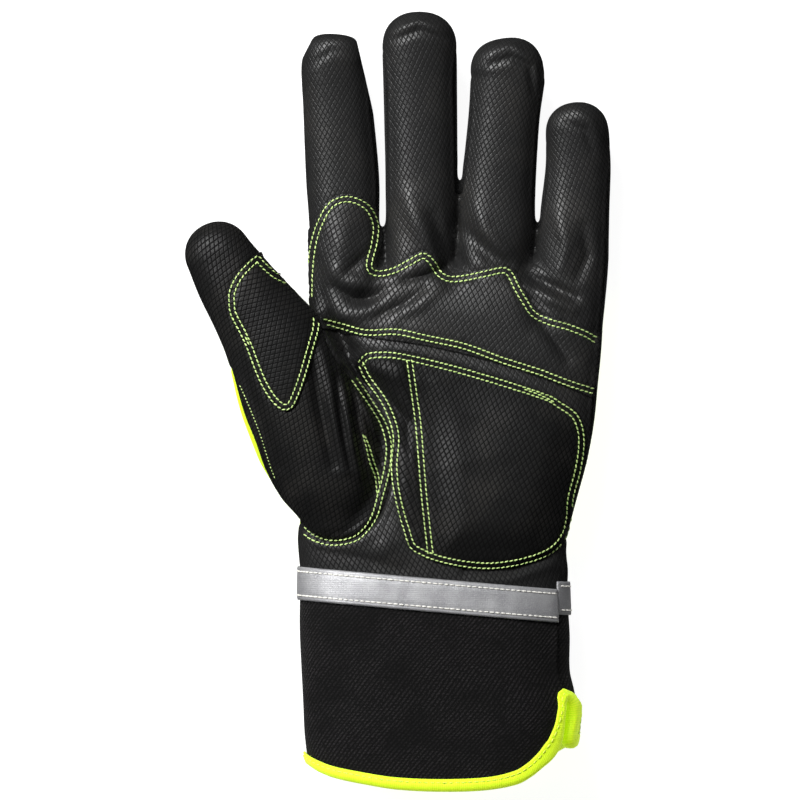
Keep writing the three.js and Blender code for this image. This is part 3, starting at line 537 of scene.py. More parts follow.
def remeshed(bm, voxel):
    work = inScene("work", meshOf("work", bm))
    voxels = work.modifiers.new("voxels", "REMESH")
    voxels.mode = "VOXEL"
    voxels.voxel_size = voxel
    made = bmesh.new()
    made.from_object(work, bpy.context.evaluated_depsgraph_get())
    data = work.data
    bpy.data.objects.remove(work)
    bpy.data.meshes.remove(data)
    return made


def smoothed(bm, verts, times):
    for _ in range(times):
        bmesh.ops.smooth_vert(
            bm, verts=verts, factor=0.5, use_axis_x=True, use_axis_y=True, use_axis_z=True
        )


def placesOf(bm):
    return np.array([vert.co for vert in bm.verts])


def normalsOf(bm):
    bm.normal_update()
    return np.array([vert.normal for vert in bm.verts])


def moveTo(bm, places):
    for vert, place in zip(bm.verts, places):
        vert.co = place


def bell(away, wide):  # 1 in the middle, gone at about twice the width
    return np.exp(-((away / wide) ** 2))


def eased(share):  # from 0 to 1 without corners
    share = np.clip(share, 0, 1)
    return share * share * (3 - 2 * share)


def acrossAt(line, y):  # x on a line that runs along y
    return np.interp(y, [p[1] for p in line], [p[0] for p in line])


def flatLayers(bm):  # flat coordinates in millimetres, which finished() makes the cloth UV map
    return [bm.verts.layers.float.new(name) for name in ("flatU", "flatV")]


body = {
    "voxel": 0.8, "smoothing": 9, "wall": 2.6, "edgeRadius": 12, "sleeve": (50, -90), "floor": 0.1,
}
bm = bmesh.new()
loft(bm, [sleeveRing(y) for y in np.arange(*body["sleeve"], -sleeve["step"])])
for limb in limbs.values():
    loft(bm, limbRings(limb))
bmesh.ops.recalc_face_normals(bm, faces=bm.faces)
bm = remeshed(bm, body["voxel"])
indexEnd = {  # it is cut off at two corners
    "right": -7.5, "from": 98,
    "flats": table("x y outX outY", (-33.9, 125.4, -0.888, 0.46), (-12.2, 114.8, 0.974, 0.225)),
}
for v in bm.verts:
    if v.co.x < indexEnd["right"] and v.co.y > indexEnd["from"]:
        for flat in indexEnd["flats"]:
            out = Vector((flat["outX"], flat["outY"], 0))
            beyond = (v.co - Vector((flat["x"], flat["y"], v.co.z))).dot(out)
            v.co -= out * max(beyond, 0)
smoothed(bm, bm.verts, body["smoothing"])
stage(f"body of {len(bm.verts)} points")

# Flat coordinates that unroll the sides, for the emboss and the knit. The leather's grain is
# turned on each finger, by degrees from the palm's own
betweenFingers = [
    [(-5.3, 20), (-5.6, 54), (-6.2, 80), (-7.2, 106), (-7.6, 160)],
    [(19, 20), (20.4, 54), (21.4, 80), (22.6, 104), (22.6, 160)],
    [(46, 20), (47.6, 50), (49.6, 68), (51, 86), (51.8, 97), (54, 106), (56, 160)],
]


def fingerOf(x, y):  # 0 for the index to 3 for the little finger
    return sum((x > acrossAt(line, y)).astype(int) for line in betweenFingers)


grain = {"turns": (-4.5, -1.0, -22.0, 3.0), "middles": (-18.5, 7.5, 34.5, 62.0),
         "from": 38, "over": 28, "turnedAt": 52}
normals = normalsOf(bm)
places = placesOf(bm)
lean = np.arctan2(normals[:, 0], np.maximum(normals[:, 2], -0.999))
tilt = np.arctan2(normals[:, 1], np.hypot(normals[:, 0], normals[:, 2]))
flatU = places[:, 0] + body["edgeRadius"] * (lean - np.sin(lean))
flatV = places[:, 1] + body["edgeRadius"] * (tilt - np.sin(tilt))
finger = fingerOf(places[:, 0], places[:, 1])
turns = np.radians(np.array(grain["turns"])[finger])
turns *= eased((places[:, 1] - grain["from"]) / grain["over"])
middles = np.array(grain["middles"])[finger]
offU, offV = flatU - middles, flatV - grain["turnedAt"]
flatU = middles + np.cos(turns) * offU + np.sin(turns) * offV
flatV = grain["turnedAt"] - np.sin(turns) * offU + np.cos(turns) * offV
layerU, layerV = flatLayers(bm)
for vert, u, v in zip(bm.verts, flatU, flatV):
    vert[layerU], vert[layerV] = u, v

# Folds and dents of the palm side: depth below the smooth form (minus for a ridge), half width,
# and the path that each follows
folds = table(
    "depth wide path",
    (2.4, 17, [(18, 8), (26, -22)]),  # the cup of the palm
    (4.4, 6, [(-21, 24), (-12, 2)]),  # the thumb's crotch
    (2.0, 6, [(-19, 38), (0, 30)]),  # below the index finger
    (1.8, 4, [(-5, 52), (-9, 40)]),
    (2.4, 4, [(20, 58), (19, 42)]),
    (2.4, 5, [(47.5, 52), (49, 28)]),
    (2.6, 5, [(-8, -8), (-8, -40)]),  # the edge of the swell
    # sharper folds in the leather: at the thumb's base
    (3.9, 2.4, [(-24.8, 30), (-21.6, 24), (-18.2, 18)]),
    (2.3, 1.7, [(-20.5, 17), (-15.6, 9.4), (-11.5, 3.2), (-7.5, -3)]),
    (2.3, 2.3, [(-31.5, 18), (-30.5, 9), (-29, -1.5), (-27, -10.5), (-24, -23)]),
    (-1.6, 2.0, [(-28, 23), (-25, 8), (-23.9, -1.5), (-21.9, -14), (-19, -25)]),
    (1.7, 1.4, [(-23, 8), (-21.7, -3), (-19.6, -16), (-18, -24)]),
    (-1.8, 1.9, [(-24.3, 20), (-20.4, 8), (-18.8, -4.4), (-16.9, -16.7), (-13.4, -27)]),
    (2.6, 1.7, [(-19.6, 11), (-16.6, 2), (-15.1, -9), (-13.9, -20), (-12, -28)]),
    (-1.3, 1.3, [(-15.8, 3.6), (-11.5, -5), (-9.3, -10)]),
    (1.3, 1.3, [(-14, -2), (-11, -9.5), (-8.6, -16)]),
    (1.7, 2.2, [(-59.5, 22), (-54.5, 4), (-49, -10), (-44, -24)]),
    # below the index finger
    (2.6, 3.2, [(-29.9, 50), (-28.2, 38.5), (-24.5, 30)]),
    (-2.0, 2.8, [(-22.7, 46.1), (-20.2, 42.8), (-15.1, 41.6), (-9, 42), (-4, 44.3)]),
    (2.6, 2.6, [(-22, 40.6), (-17.6, 36.9), (-11.5, 35.8), (-7.2, 36.9), (-2.9, 40.3)]),
    (-2.0, 2.9, [(-22.3, 29.5), (-15.8, 30.8), (-10, 33.1), (-4, 38.2), (-1.4, 42.5)]),
    (1.6, 2.4, [(-19.4, 45.8), (-15.8, 48.8), (-11.5, 53.3)]),
    (1.2, 2.1, [(-8, 30), (2, 34.5), (9, 39.5)]),
    (-0.9, 2.2, [(-2, 30), (7, 34), (14, 40)]),
    (-1.1, 4.0, [(-21, 62), (-20.5, 50)]),
    # at the other fingers
    (-2.1, 3.6, [(3, 72), (7.5, 62), (12, 52)]),
    (1.6, 2.4, [(12, 66), (15.5, 56), (17, 48)]),
    (2.0, 1.8, [(2, 43), (9, 44.8), (16, 47.6)]),
    (1.9, 2.8, [(21.5, 64), (27, 57), (33, 51.5), (38.5, 49)]),
    (-1.2, 3.2, [(21.5, 58), (24.5, 51), (30, 47.5)]),
    (-1.3, 3.0, [(27, 70), (31, 61), (37, 54)]),
    (2.5, 2.0, [(46, 45), (54, 41), (63, 37)]),
    (-1.7, 2.4, [(47, 40.5), (54, 36.6), (62, 32.6)]),
    (-1.6, 3.0, [(57, 66), (60, 56), (58, 48)]),
    (1.6, 2.2, [(66, 62), (67.5, 52), (64, 44)]),
    (2.1, 2.6, [(50, 29), (55, 22), (60, 15)]),
    # on the palm and round the heel pad
    (1.2, 1.8, [(-22, 25.2), (-8, 22.4), (9, 20), (23, 17), (37, 12.4), (51, 8), (68, 2)]),
    (2.6, 2.8, [(-8.5, 7), (-2, -2), (2.8, -8), (3.6, -17)]),
    (-1.6, 3.2, [(-10, 13), (-2, 11), (4, 6)]),
    (-1.0, 1.8, [(1, -20), (2, -31), (4.4, -43)]),
    (1.8, 2.2, [(24, -61.4), (40, -61), (54, -56)]),
    (-1.0, 2.0, [(26, -64), (40, -64), (54, -59.6)]),
    (-1.7, 4.5, [(-8, -50), (-3, -56)]),
    (1.0, 2.0, [(-30, -54), (-14, -57), (0, -61)]),
    # the rolled ends of the fingers
    (-0.8, 1.3, [(-3, 132.6), (7, 136.4), (16.5, 132.6)]),
    (1.0, 1.2, [(-2.5, 129.2), (7, 132.8), (16, 129.4)]),
    (-0.7, 1.5, [(30, 124), (40, 127.6), (49, 121), (51, 110)]),
    (1.1, 1.4, [(32.4, 120.6), (40, 123.2), (46.6, 120), (48, 110)]),
    (-0.7, 1.8, [(63, 104), (69, 100.4), (72.4, 94)]),
    (0.8, 1.4, [(60, 100), (66.4, 97), (69.2, 90)]),
    (0.5, 1.5, [(-33, 120), (-24, 125.8), (-16, 124.6)]),
    (0.6, 2.0, [(-74, 52), (-70, 56), (-62, 57)]),
)


def alongPath(x, y, path):  # distance to a path from above, and how far along it from 0 to 1
    nearest = np.full(len(x), 1e9)
    along = np.zeros(len(x))
    lengths = [math.dist(a, b) for a, b in zip(path, path[1:])]
    run = 0
    for (ax, ay), (bx, by), length in zip(path, path[1:], lengths):
        t = ((x - ax) * (bx - ax) + (y - ay) * (by - ay)) / length**2
        t = np.clip(t, 0, 1)
        away = np.hypot(x - ax - t * (bx - ax), y - ay - t * (by - ay))
        closer = away < nearest
        nearest = np.where(closer, away, nearest)
        along = np.where(closer, (run + t * length) / sum(lengths), along)
        run += length
    return nearest, along


def foldDepth(x, y):  # each fold is little more than half as deep at its ends
    total = np.zeros(len(x))
    for fold in folds:
        away, along = alongPath(x, y, fold["path"])
        total += fold["depth"] * (0.55 + 0.45 * np.sin(np.pi * along)) * bell(away, fold["wide"])
    return total


facingUp = np.clip(normals[:, 2], 0, 1) ** 0.7
places[:, 2] -= facingUp * foldDepth(places[:, 0], places[:, 1])
moveTo(bm, places)
stage("folds")

# The seams between the panels, seen from above or as heights along the sides
seams = {
    "side": table("y z", (-160, 15), (-50, 15), (0, 16), (40, 14.5), (80, 14.5), (105, 16.5),
                  (120, 19), (150, 24)),
    "thumbSide": table("y z", (-160, 15), (-50, 15.5), (-42, 17), (-34, 20.5), (-28, 26.5),
                       (-18, 31), (-6, 31.5), (8, 31), (20, 28.5), (60, 27.5), (150, 27.5)),
    "thumbInner": table("y z", (-160, 17), (16, 17), (30, 22), (44, 27.5), (150, 27.5)),
    "thumb": [
        (-32.6, 33), (-29.5, 28.8), (-25.5, 20), (-21.6, 13), (-17.6, 8.6), (-13.8, 4.6),
        (-9.6, -0.8), (-6, -7), (-3.8, -13), (-3.2, -22), (-4.4, -32.6), (-7.2, -40.6),
        (-11.4, -45.6), (-16.8, -49.6), (-24.4, -51), (-31.4, -49), (-37, -43.6),
    ],
    "roundThumb": [
        (-44, -46), (-110, -46), (-110, 110), (-48, 110), (-41, 64), (-37.5, 50), (-35, 40),
    ],
    "thumbBack": [(-66, 7.5), (-28, 37)],
    "knuckles": 33,
    "wrist": -50,
    "strip": {"half": 4, "taper": 15},  # the knit strips, narrower towards their ends
    "gusset": {"from": [58, 66, 60], "toTip": 13},
    "outer": {"left": 48, "lean": 0.2, "fingers": 20, "fingerLeft": 62, "to": 93},
    "wristRise": {"height": 6, "from": -44, "over": 10, "left": 30},
}
panels = [
    "palm_panel", "thumb_panel", "thumb_back", "hand_back", "wrist_elastic",
    "gusset_index_middle", "gusset_middle_ring", "gusset_ring_little", "outer_side_strip",
    "index_back", "middle_back", "ring_back", "little_back",
]
codeOf = {name: code for code, name in enumerate(panels)}
heights = {
    name: curveOf(seams[name], "y", "z", -160, 150) for name in ("side", "thumbSide", "thumbInner")
}


def smoothLine(points, step=1.0, closed=False):  # a curve through points, a step apart
    knots = [Vector(p) for p in points]
    count = len(knots)
    made = []
    for i in range(count if closed else count - 1):
        p0, p1, p2, p3 = [
            knots[(i + n) % count if closed else min(max(i + n, 0), count - 1)]
            for n in (-1, 0, 1, 2)
        ]
        length = (p2 - p1).length
        before = (p2 - p0) * length / max((p2 - p1).length + (p1 - p0).length, 1e-6)
        after = (p3 - p1) * length / max((p3 - p2).length + (p2 - p1).length, 1e-6)
        pieces = max(2, math.ceil(length / step))
        made += [hermite(p1, p2, before, after, n / pieces) for n in range(pieces)]
    return made if closed else [*made, knots[-1]]


def insideOutline(x, y, outline):
    inside = np.zeros(len(x), bool)
    for (ax, ay), (bx, by) in zip(outline, outline[1:] + outline[:1]):
        if ay != by:
            inside ^= ((ay > y) != (by > y)) & (x < (bx - ax) * (y - ay) / (by - ay) + ax)
    return inside


thumbRegion = [tuple(p) for p in smoothLine(seams["thumb"])] + seams["roundThumb"]
thumbAxis = [(row["x"], row["y"]) for row in limbs["thumb"]["rows"]]
innerSide = (
    [limbs["thumb"]["heel"][:2], *thumbAxis, limbs["thumb"]["tip"][:2]]
    + [(-84, 90), (90, 90), (90, -120), (-22, -120)]
)


def panelOf(points):  # the number of the panel that each point lies on
    x, y, z = points.T
    strip, gusset, outerSide, rise = [seams[n] for n in ("strip", "gusset", "outer", "wristRise")]
    inThumb = insideOutline(x, y, thumbRegion)
    above = (z > np.interp(y, *heights["thumbSide"])) | (
        (z > np.interp(y, *heights["thumbInner"])) & insideOutline(x, y, innerSide)
    )
    code = np.full(len(x), codeOf["hand_back"])
    code[y < seams["wrist"]] = codeOf["wrist_elastic"]
    lifted = np.clip((rise["from"] - y) / rise["over"], 0, 1) * (x > rise["left"])
    side = np.interp(y, *heights["side"]) + rise["height"] * lifted
    fingerAt = fingerOf(x, y)
    stripCode = np.full(len(x), -1)
    toEnd = np.full(len(x), 99.0)  # how far a place on a strip lies from the strip's ends
    for n, line in enumerate(betweenFingers):
        pair = [limbs[name] for name in list(limbs)[n : n + 2]]
        middles = [acrossAt([(r["x"], r["y"]) for r in limb["rows"]], y) for limb in pair]
        stops = [limb["tip"][1] - gusset["toTip"] for limb in pair]
        start = gusset["from"][n]
        inside = (x > middles[0]) & (x < middles[1]) & (y > start)
        stop = np.where(x < acrossAt(line, y), *stops)
        stripCode[inside & (y < stop)] = codeOf["gusset_index_middle"] + n
        toEnd = np.where(inside, np.minimum(stop - y, y - start), toEnd)
    palmLeft = outerSide["left"] + (y - seams["wrist"]) * outerSide["lean"]
    outer = x > np.where(y < outerSide["fingers"], palmLeft, outerSide["fingerLeft"])
    outer &= (y > seams["wrist"]) & (y < outerSide["to"])
    stripCode[outer] = codeOf["outer_side_strip"]
    toEnd = np.where(outer, outerSide["to"] - y, toEnd)
    behindFinger = (y > seams["knuckles"]) & ~inThumb
    code[behindFinger] = codeOf["index_back"] + fingerAt[behindFinger]
    code[(z > side) & ~inThumb] = codeOf["palm_panel"]
    half = strip["half"] * np.sqrt(np.clip(toEnd / strip["taper"], 0, 1))
    onStrip = (np.abs(z - side) < half) & (stripCode >= 0) & ~inThumb
    code[onStrip] = stripCode[onStrip]
    (ax, ay), (bx, by) = seams["thumbBack"]
    beyond = y > ay + (x - ax) / (bx - ax) * (by - ay)
    code[inThumb & ~above & beyond] = codeOf["thumb_back"]
    code[inThumb & above] = codeOf["thumb_panel"]
    return code


cutting = {"halvings": 8, "margin": 0.12}  # no new point lies closer than this to an edge's end


def cutAlong(bm, regionOf):  # new points and edges just where the region changes
    bm.verts.index_update()
    spots = placesOf(bm)
    codes = regionOf(spots)
    crossing = [e for e in bm.edges if codes[e.verts[0].index] != codes[e.verts[1].index]]
    first, second = [np.array([e.verts[n].index for e in crossing]) for n in (0, 1)]
    low, high = np.zeros(len(crossing)), np.ones(len(crossing))
    for _ in range(cutting["halvings"]):
        middle = (low + high) / 2
        tried = spots[first] + (spots[second] - spots[first]) * middle[:, None]
        same = regionOf(tried) == codes[first]
        low, high = np.where(same, middle, low), np.where(same, high, middle)
    shares = np.clip(low, cutting["margin"], 1 - cutting["margin"])
    made = [
        bmesh.utils.edge_split(edge, edge.verts[0], float(share))[1]
        for edge, share in zip(crossing, shares)
    ]
    bmesh.ops.connect_verts(bm, verts=made)
    return made


def faceCentres(bm):
    return np.array([face.calc_center_median() for face in bm.faces])


seamPoints = cutAlong(bm, panelOf)
codeLayer = bm.faces.layers.int.new("panel")
for face, code in zip(bm.faces, panelOf(faceCentres(bm))):
    face[codeLayer] = int(code)
stage("panels cut")

# Sewn lines on the palm side, from above. Two rows of stitches run `apart` from each other; the
# second lies on the left of the way along, or on the right with a minus sign.
sewing = {
    "pitch": 1.72, "length": 1.58, "thick": 0.28, "tuck": 0.5, "lift": 0.12, "lean": 10,
    "slant": 5, "reach": 0.45, "longest": 2.2, "steepest": 2.5, "from": 90,
    "lengths": (0.92, 1.04), "thicks": (0.9, 1.1),  # from stitch to stitch
    "roundLengths": (0.72, 1.04), "roundThicks": (0.88, 1.12),  # on the tapes and the binding
}
sewnLines = table(
    "on apart size path",
    ("upper_palm_patch", -1.85, 1, [
        (-33.5, 37), (-33.2, 46), (-32.2, 55), (-29.9, 63), (-25.2, 70.9), (-18.7, 73.1),
        (-11.5, 70.2), (-8.0, 63.7), (-8.4, 56.2), (-10.2, 48.9), (-9.5, 46.8), (-6.3, 46.4),
        (-1.9, 47.6), (2.7, 50), (8.5, 52.7), (12.3, 50), (14.7, 46.1), (17.8, 44.4),
        (23.3, 44.7),
        (30.2, 46.2), (37.1, 47.5), (39.9, 46.2), (42.6, 41), (45.4, 36.2), (48.8, 31.4),
        (54.3, 28.9), (61.2, 26.9), (68, 24.1), (72.2, 21.4),
    ]),
    ("upper_palm_patch", -1.8, 1, [
        (-29.4, 29.6), (-21.2, 27.6), (-12.2, 25.2), (-1.4, 25.4), (9.5, 23.2), (23.3, 20.2),
        (37.1, 15.2), (50.8, 10.8), (61.2, 6.8), (70.6, 3.8),
    ]),
    ("heel_pad", -1.85, 1, [
        (-15.1, 13.3), (-12, 16.4), (-5.8, 17.1), (1.1, 16.4), (14.8, 13.3), (32, 8.5),
        (53.5, 1.5), (57.7, -1), (63.3, -5.1), (65.7, -10.7), (66, -17.5), (64.7, -25.8),
        (62.2, -35.4), (61.5, -43.3), (59.7, -49.2), (55.3, -54.4), (47.2, -58), (36, -60.2),
        (26.6, -60.2), (15.5, -58.3), (8.3, -55.8), (3.8, -52.9), (1.6, -47), (-0.6, -39.6),
        (-2.5, -30.2), (-2.9, -22.7), (-2.3, -13.7), (-3.5, -7.9), (-6.9, -0.4), (-12.6, 7.9),
        (-15.1, 13.3),
    ]),
    ("heel_pad", -1.85, 1, [
        (4.2, 14.8), (5.9, 2.9), (7.5, -8.6), (8.6, -22.7), (9.4, -32.8), (10.9, -46.8),
        (11.9, -55.4),
    ]),
    ("thumb_panel", -1.85, 1, [
        (-35.7, -44.3), (-31.3, -48.4), (-24.4, -50.4), (-16.8, -49.1), (-12.6, -45.6),
        (-9.9, -41), (-7.9, -33.9), (-6.3, -28), (-5.3, -22.9), (-4.9, -16.7), (-6.5, -10),
        (-9.5, -4.4), (-14.5, 3), (-18.2, 8.2),
    ]),
    ("thumb_panel", 0, 1, [
        (-13.4, -12.2), (-12.2, -16.6), (-10.8, -22.7), (-9, -27.4), (-8.5, -31.3), (-8, -34.6),
    ]),
    ("thumb_panel", 0, 1, [
        (-12.9, -12.6), (-11.4, -15.8), (-9.6, -21.6), (-7.8, -27), (-7.2, -31.3),
    ]),
    ("thumb_panel", 0, 0.5, [
        (-57.6, 5.5), (-56.2, 2.5), (-53, -5), (-49.7, -13.7), (-46.9, -22.7), (-44.6, -28.8),
    ]),
    ("thumb_patch", -1.85, 1, [
        (-29.2, 29.6), (-29.4, 25.6), (-31.5, 18), (-34.2, 8.6), (-36.6, 1.8), (-39, -2.7),
        (-41.8, -3.4), (-45.2, -1), (-48.7, 4), (-51.5, 10), (-54.9, 19), (-57.1, 23.8),
        (-59, 27.4), (-60.8, 31.3), (-61.2, 34.9), (-61.2, 38.2), (-60, 41.8), (-57.8, 45.4),
        (-54.9, 48.6), (-51.6, 51.4), (-50.4, 51.2), (-49.3, 49.9), (-47.1, 47.7),
        (-44.3, 45.4), (-41.2, 43.9), (-38.8, 42.8),
    ]),
    ("thumb_patch", 0, 1, [(-55.4, 22.8), (-53.6, 18.6)]),
    ("heel_pad", 0, 1, [(44.5, 3.9), (50, 1.9), (55.8, -0.9)]),
)


def evenly(line, pitch):  # places a pitch apart on a line, each with its direction
    lengths = [0]
    for a, b in zip(line, line[1:]):
        lengths.append(lengths[-1] + (b - a).length)
    made = []
    for n in range(int(lengths[-1] / pitch)):
        at = (n + 0.5) * pitch
        i = max(k for k in range(len(lengths) - 1) if lengths[k] <= at)
        t = (at - lengths[i]) / max(lengths[i + 1] - lengths[i], 1e-6)
        made.append((line[i].lerp(line[i + 1], t), (line[i + 1] - line[i]).normalized()))
    return made


sewnPlaces = {}  # for each piece, the stitches on it as (place, direction, size) from above
for line in sewnLines:
    middle = smoothLine(line["path"], 0.8)
    rows = [middle]
    if line["apart"]:
        ahead, behind = middle[1:] + middle[-1:], middle[:1] + middle[:-1]
        ways = [(later - earlier).normalized() for later, earlier in zip(ahead, behind)]
        rows.append([
            point + Vector((-way.y, way.x)) * line["apart"] for point, way in zip(middle, ways)
        ])
    for row in rows:
        spots = evenly(row, sewing["pitch"] * (0.45 + 0.55 * line["size"]))
        sewnPlaces.setdefault(line["on"], []).extend([(*spot, line["size"]) for spot in spots])
stage(f"{sum(map(len, sewnPlaces.values()))} stitches laid out")


def treeOf(points):
    tree = kdtree.KDTree(len(points))
    for n, point in enumerate(points):
        tree.insert((*point, 0)[:3], n)
    tree.balance()
    return tree


def awayFrom(tree, places):
    return np.array([tree.find(place)[2] for place in places])


# Seams sink between two soft lips, less so on the back and in the crotches between the fingers
flatten = np.array([1, 1, 0])
seamShape = {
    "groove": 1.1, "grooveWide": 0.8, "lip": 0.4, "lipAt": 2.0, "lipWide": 1.1, "atBack": 0.35,
    "crotches": [(-6.2, 55), (20.3, 62), (48.8, 56)], "calmed": 0.85, "calmWide": 9,
}
normals = normalsOf(bm)
places = placesOf(bm)
away = awayFrom(treeOf([tuple(v.co) for v in seamPoints]), places)
upward = np.clip(normals[:, 2] * 2, 0, 1)
rise = -seamShape["groove"] * bell(away, seamShape["grooveWide"])
rise *= seamShape["atBack"] + (1 - seamShape["atBack"]) * upward
rise += seamShape["lip"] * bell(away - seamShape["lipAt"], seamShape["lipWide"]) * upward
calm = np.ones(len(places))
for crotch in seamShape["crotches"]:
    near = np.hypot(*(places[:, :2] - crotch).T)
    calm -= seamShape["calmed"] * bell(near, seamShape["calmWide"])
places += normals * (rise * calm)[:, None]

# Sewn rows pull the leather in, and it puckers beside them in waves a few millimetres long
allSewn = [place for points in sewnPlaces.values() for place, _, size in points if size == 1]
pucker = {"height": 0.16, "wide": 3.2, "tuckWide": 1.1}
above = normals[:, 2] > 0.05  # the sides are left alone
x, y, _ = places[above].T
away = awayFrom(treeOf([tuple(place) for place in allSewn]), places[above] * flatten)
ripple = np.sin(x * 1.9 + 1.3 * np.sin(y * 1.1)) * np.sin(y * 2.1 + 1.1 * np.sin(x * 0.9))
pulled = pucker["height"] * ripple * bell(away, pucker["wide"])
pulled -= sewing["tuck"] * bell(away, pucker["tuckWide"])
places[above] += normals[above] * pulled[:, None]
places[:, 2] = np.maximum(places[:, 2], body["floor"])
moveTo(bm, places)

# The valleys between the fingers, where the seams of two fingers meet, are smoothed once more
valley = {"from": 44, "to": 72, "half": 3, "smoothing": 6}
smoothed(bm, [
    v for v in bm.verts if valley["from"] < v.co.y < valley["to"]
    and min(abs(v.co.x - acrossAt(line, v.co.y)) for line in betweenFingers) < valley["half"]
], valley["smoothing"])
bm.normal_update()
stage("seams and sewn rows sunk")

# The open end at the reflective tape, whose middle line runs askew
tapeEnds = {"left": -37, "right": 60, "under": 0.2}  # x at either side; the leather ends under it
tapeLine = {"left": -65.8, "right": -74.4}
backTapeLine = {"left": -65.8, "right": -71.4}


def tapeY(x, line=tapeLine):
    share = (x - tapeEnds["left"]) / (tapeEnds["right"] - tapeEnds["left"])
    return line["left"] + share * (line["right"] - line["left"])


slope = (tapeLine["right"] - tapeLine["left"]) / (tapeEnds["right"] - tapeEnds["left"])
bmesh.ops.bisect_plane(
    bm, geom=[*bm.verts, *bm.edges, *bm.faces],
    plane_co=(tapeEnds["left"], tapeLine["left"] + tapeEnds["under"], 0),
    plane_no=(slope, -1, 0), clear_outer=True,
)


# A piece from its bmesh, which is used up: its pattern is turned by so many degrees, a wall is
# a thickness inwards, and the lining's material comes so many places after the outside's
def finished(name, bm, materials, nodes, turn=0.0, wall=0.0, liningFrom=0):
    if "flatU" in bm.verts.layers.float:
        flatLayer = bm.loops.layers.uv.new("cloth")
        layerU, layerV = [bm.verts.layers.float[name] for name in ("flatU", "flatV")]
        c, s = math.cos(math.radians(turn)), math.sin(math.radians(turn))
        for face in bm.faces:
            for loop in face.loops:
                u, v = loop.vert[layerU], loop.vert[layerV]
                loop[flatLayer].uv = (c * u - s * v, s * u + c * v)
    for face in bm.faces:
        face.smooth = True
    bmesh.ops.transform(bm, matrix=toFrame, verts=bm.verts)
    piece = inScene(name, meshOf(name, bm))
    for material in materials:
        piece.data.materials.append(material)
    if wall:
        shell = piece.modifiers.new("wall", "SOLIDIFY")
        shell.thickness = wall * drawing["unit"]
        shell.offset = -1
        shell.material_offset = liningFrom
        shell.material_offset_rim = 0
    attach(piece, "root")
    if nodes:
        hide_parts(*nodes)
    return piece


def facesWhere(bm, keep):  # a copy of the mesh with only these faces
    made = bm.copy()
    gone = [face for face, stays in zip(made.faces, keep) if not stays]
    bmesh.ops.delete(made, geom=gone, context="FACES")
    return made


panelLooks = {  # material, slot, turn of the pattern and the name of the piece
    "palm_panel": (leather, "palm_leather", -10, "palm_leather_panel"),
    "thumb_panel": (dullLeather, "palm_leather", 22, "thumb_leather_panel"),
    "thumb_back": (knit, "black_knit", 35, "thumb_back_knit"),
    "hand_back": (hiVis, "hi_vis_fabric", 0, "hand_back_fabric"),
    "wrist_elastic": (knit, "black_knit", 0, "wrist_elastic_knit"),
    "gusset_index_middle": (knit, "black_knit", 0, "gusset_knit_index_middle"),
    "gusset_middle_ring": (knit, "black_knit", 0, "gusset_knit_middle_ring"),
    "gusset_ring_little": (knit, "black_knit", 0, "gusset_knit_ring_little"),
    "outer_side_strip": (knit, "black_knit", 0, "outer_side_knit"),
    "index_back": (knit, "black_knit", 0, "index_back_knit"),
    "middle_back": (knit, "black_knit", 0, "middle_back_knit"),
    "ring_back": (knit, "black_knit", 0, "ring_back_knit"),
    "little_back": (knit, "black_knit", 0, "little_back_knit"),
}
faceCodes = np.array([face[codeLayer] for face in bm.faces])

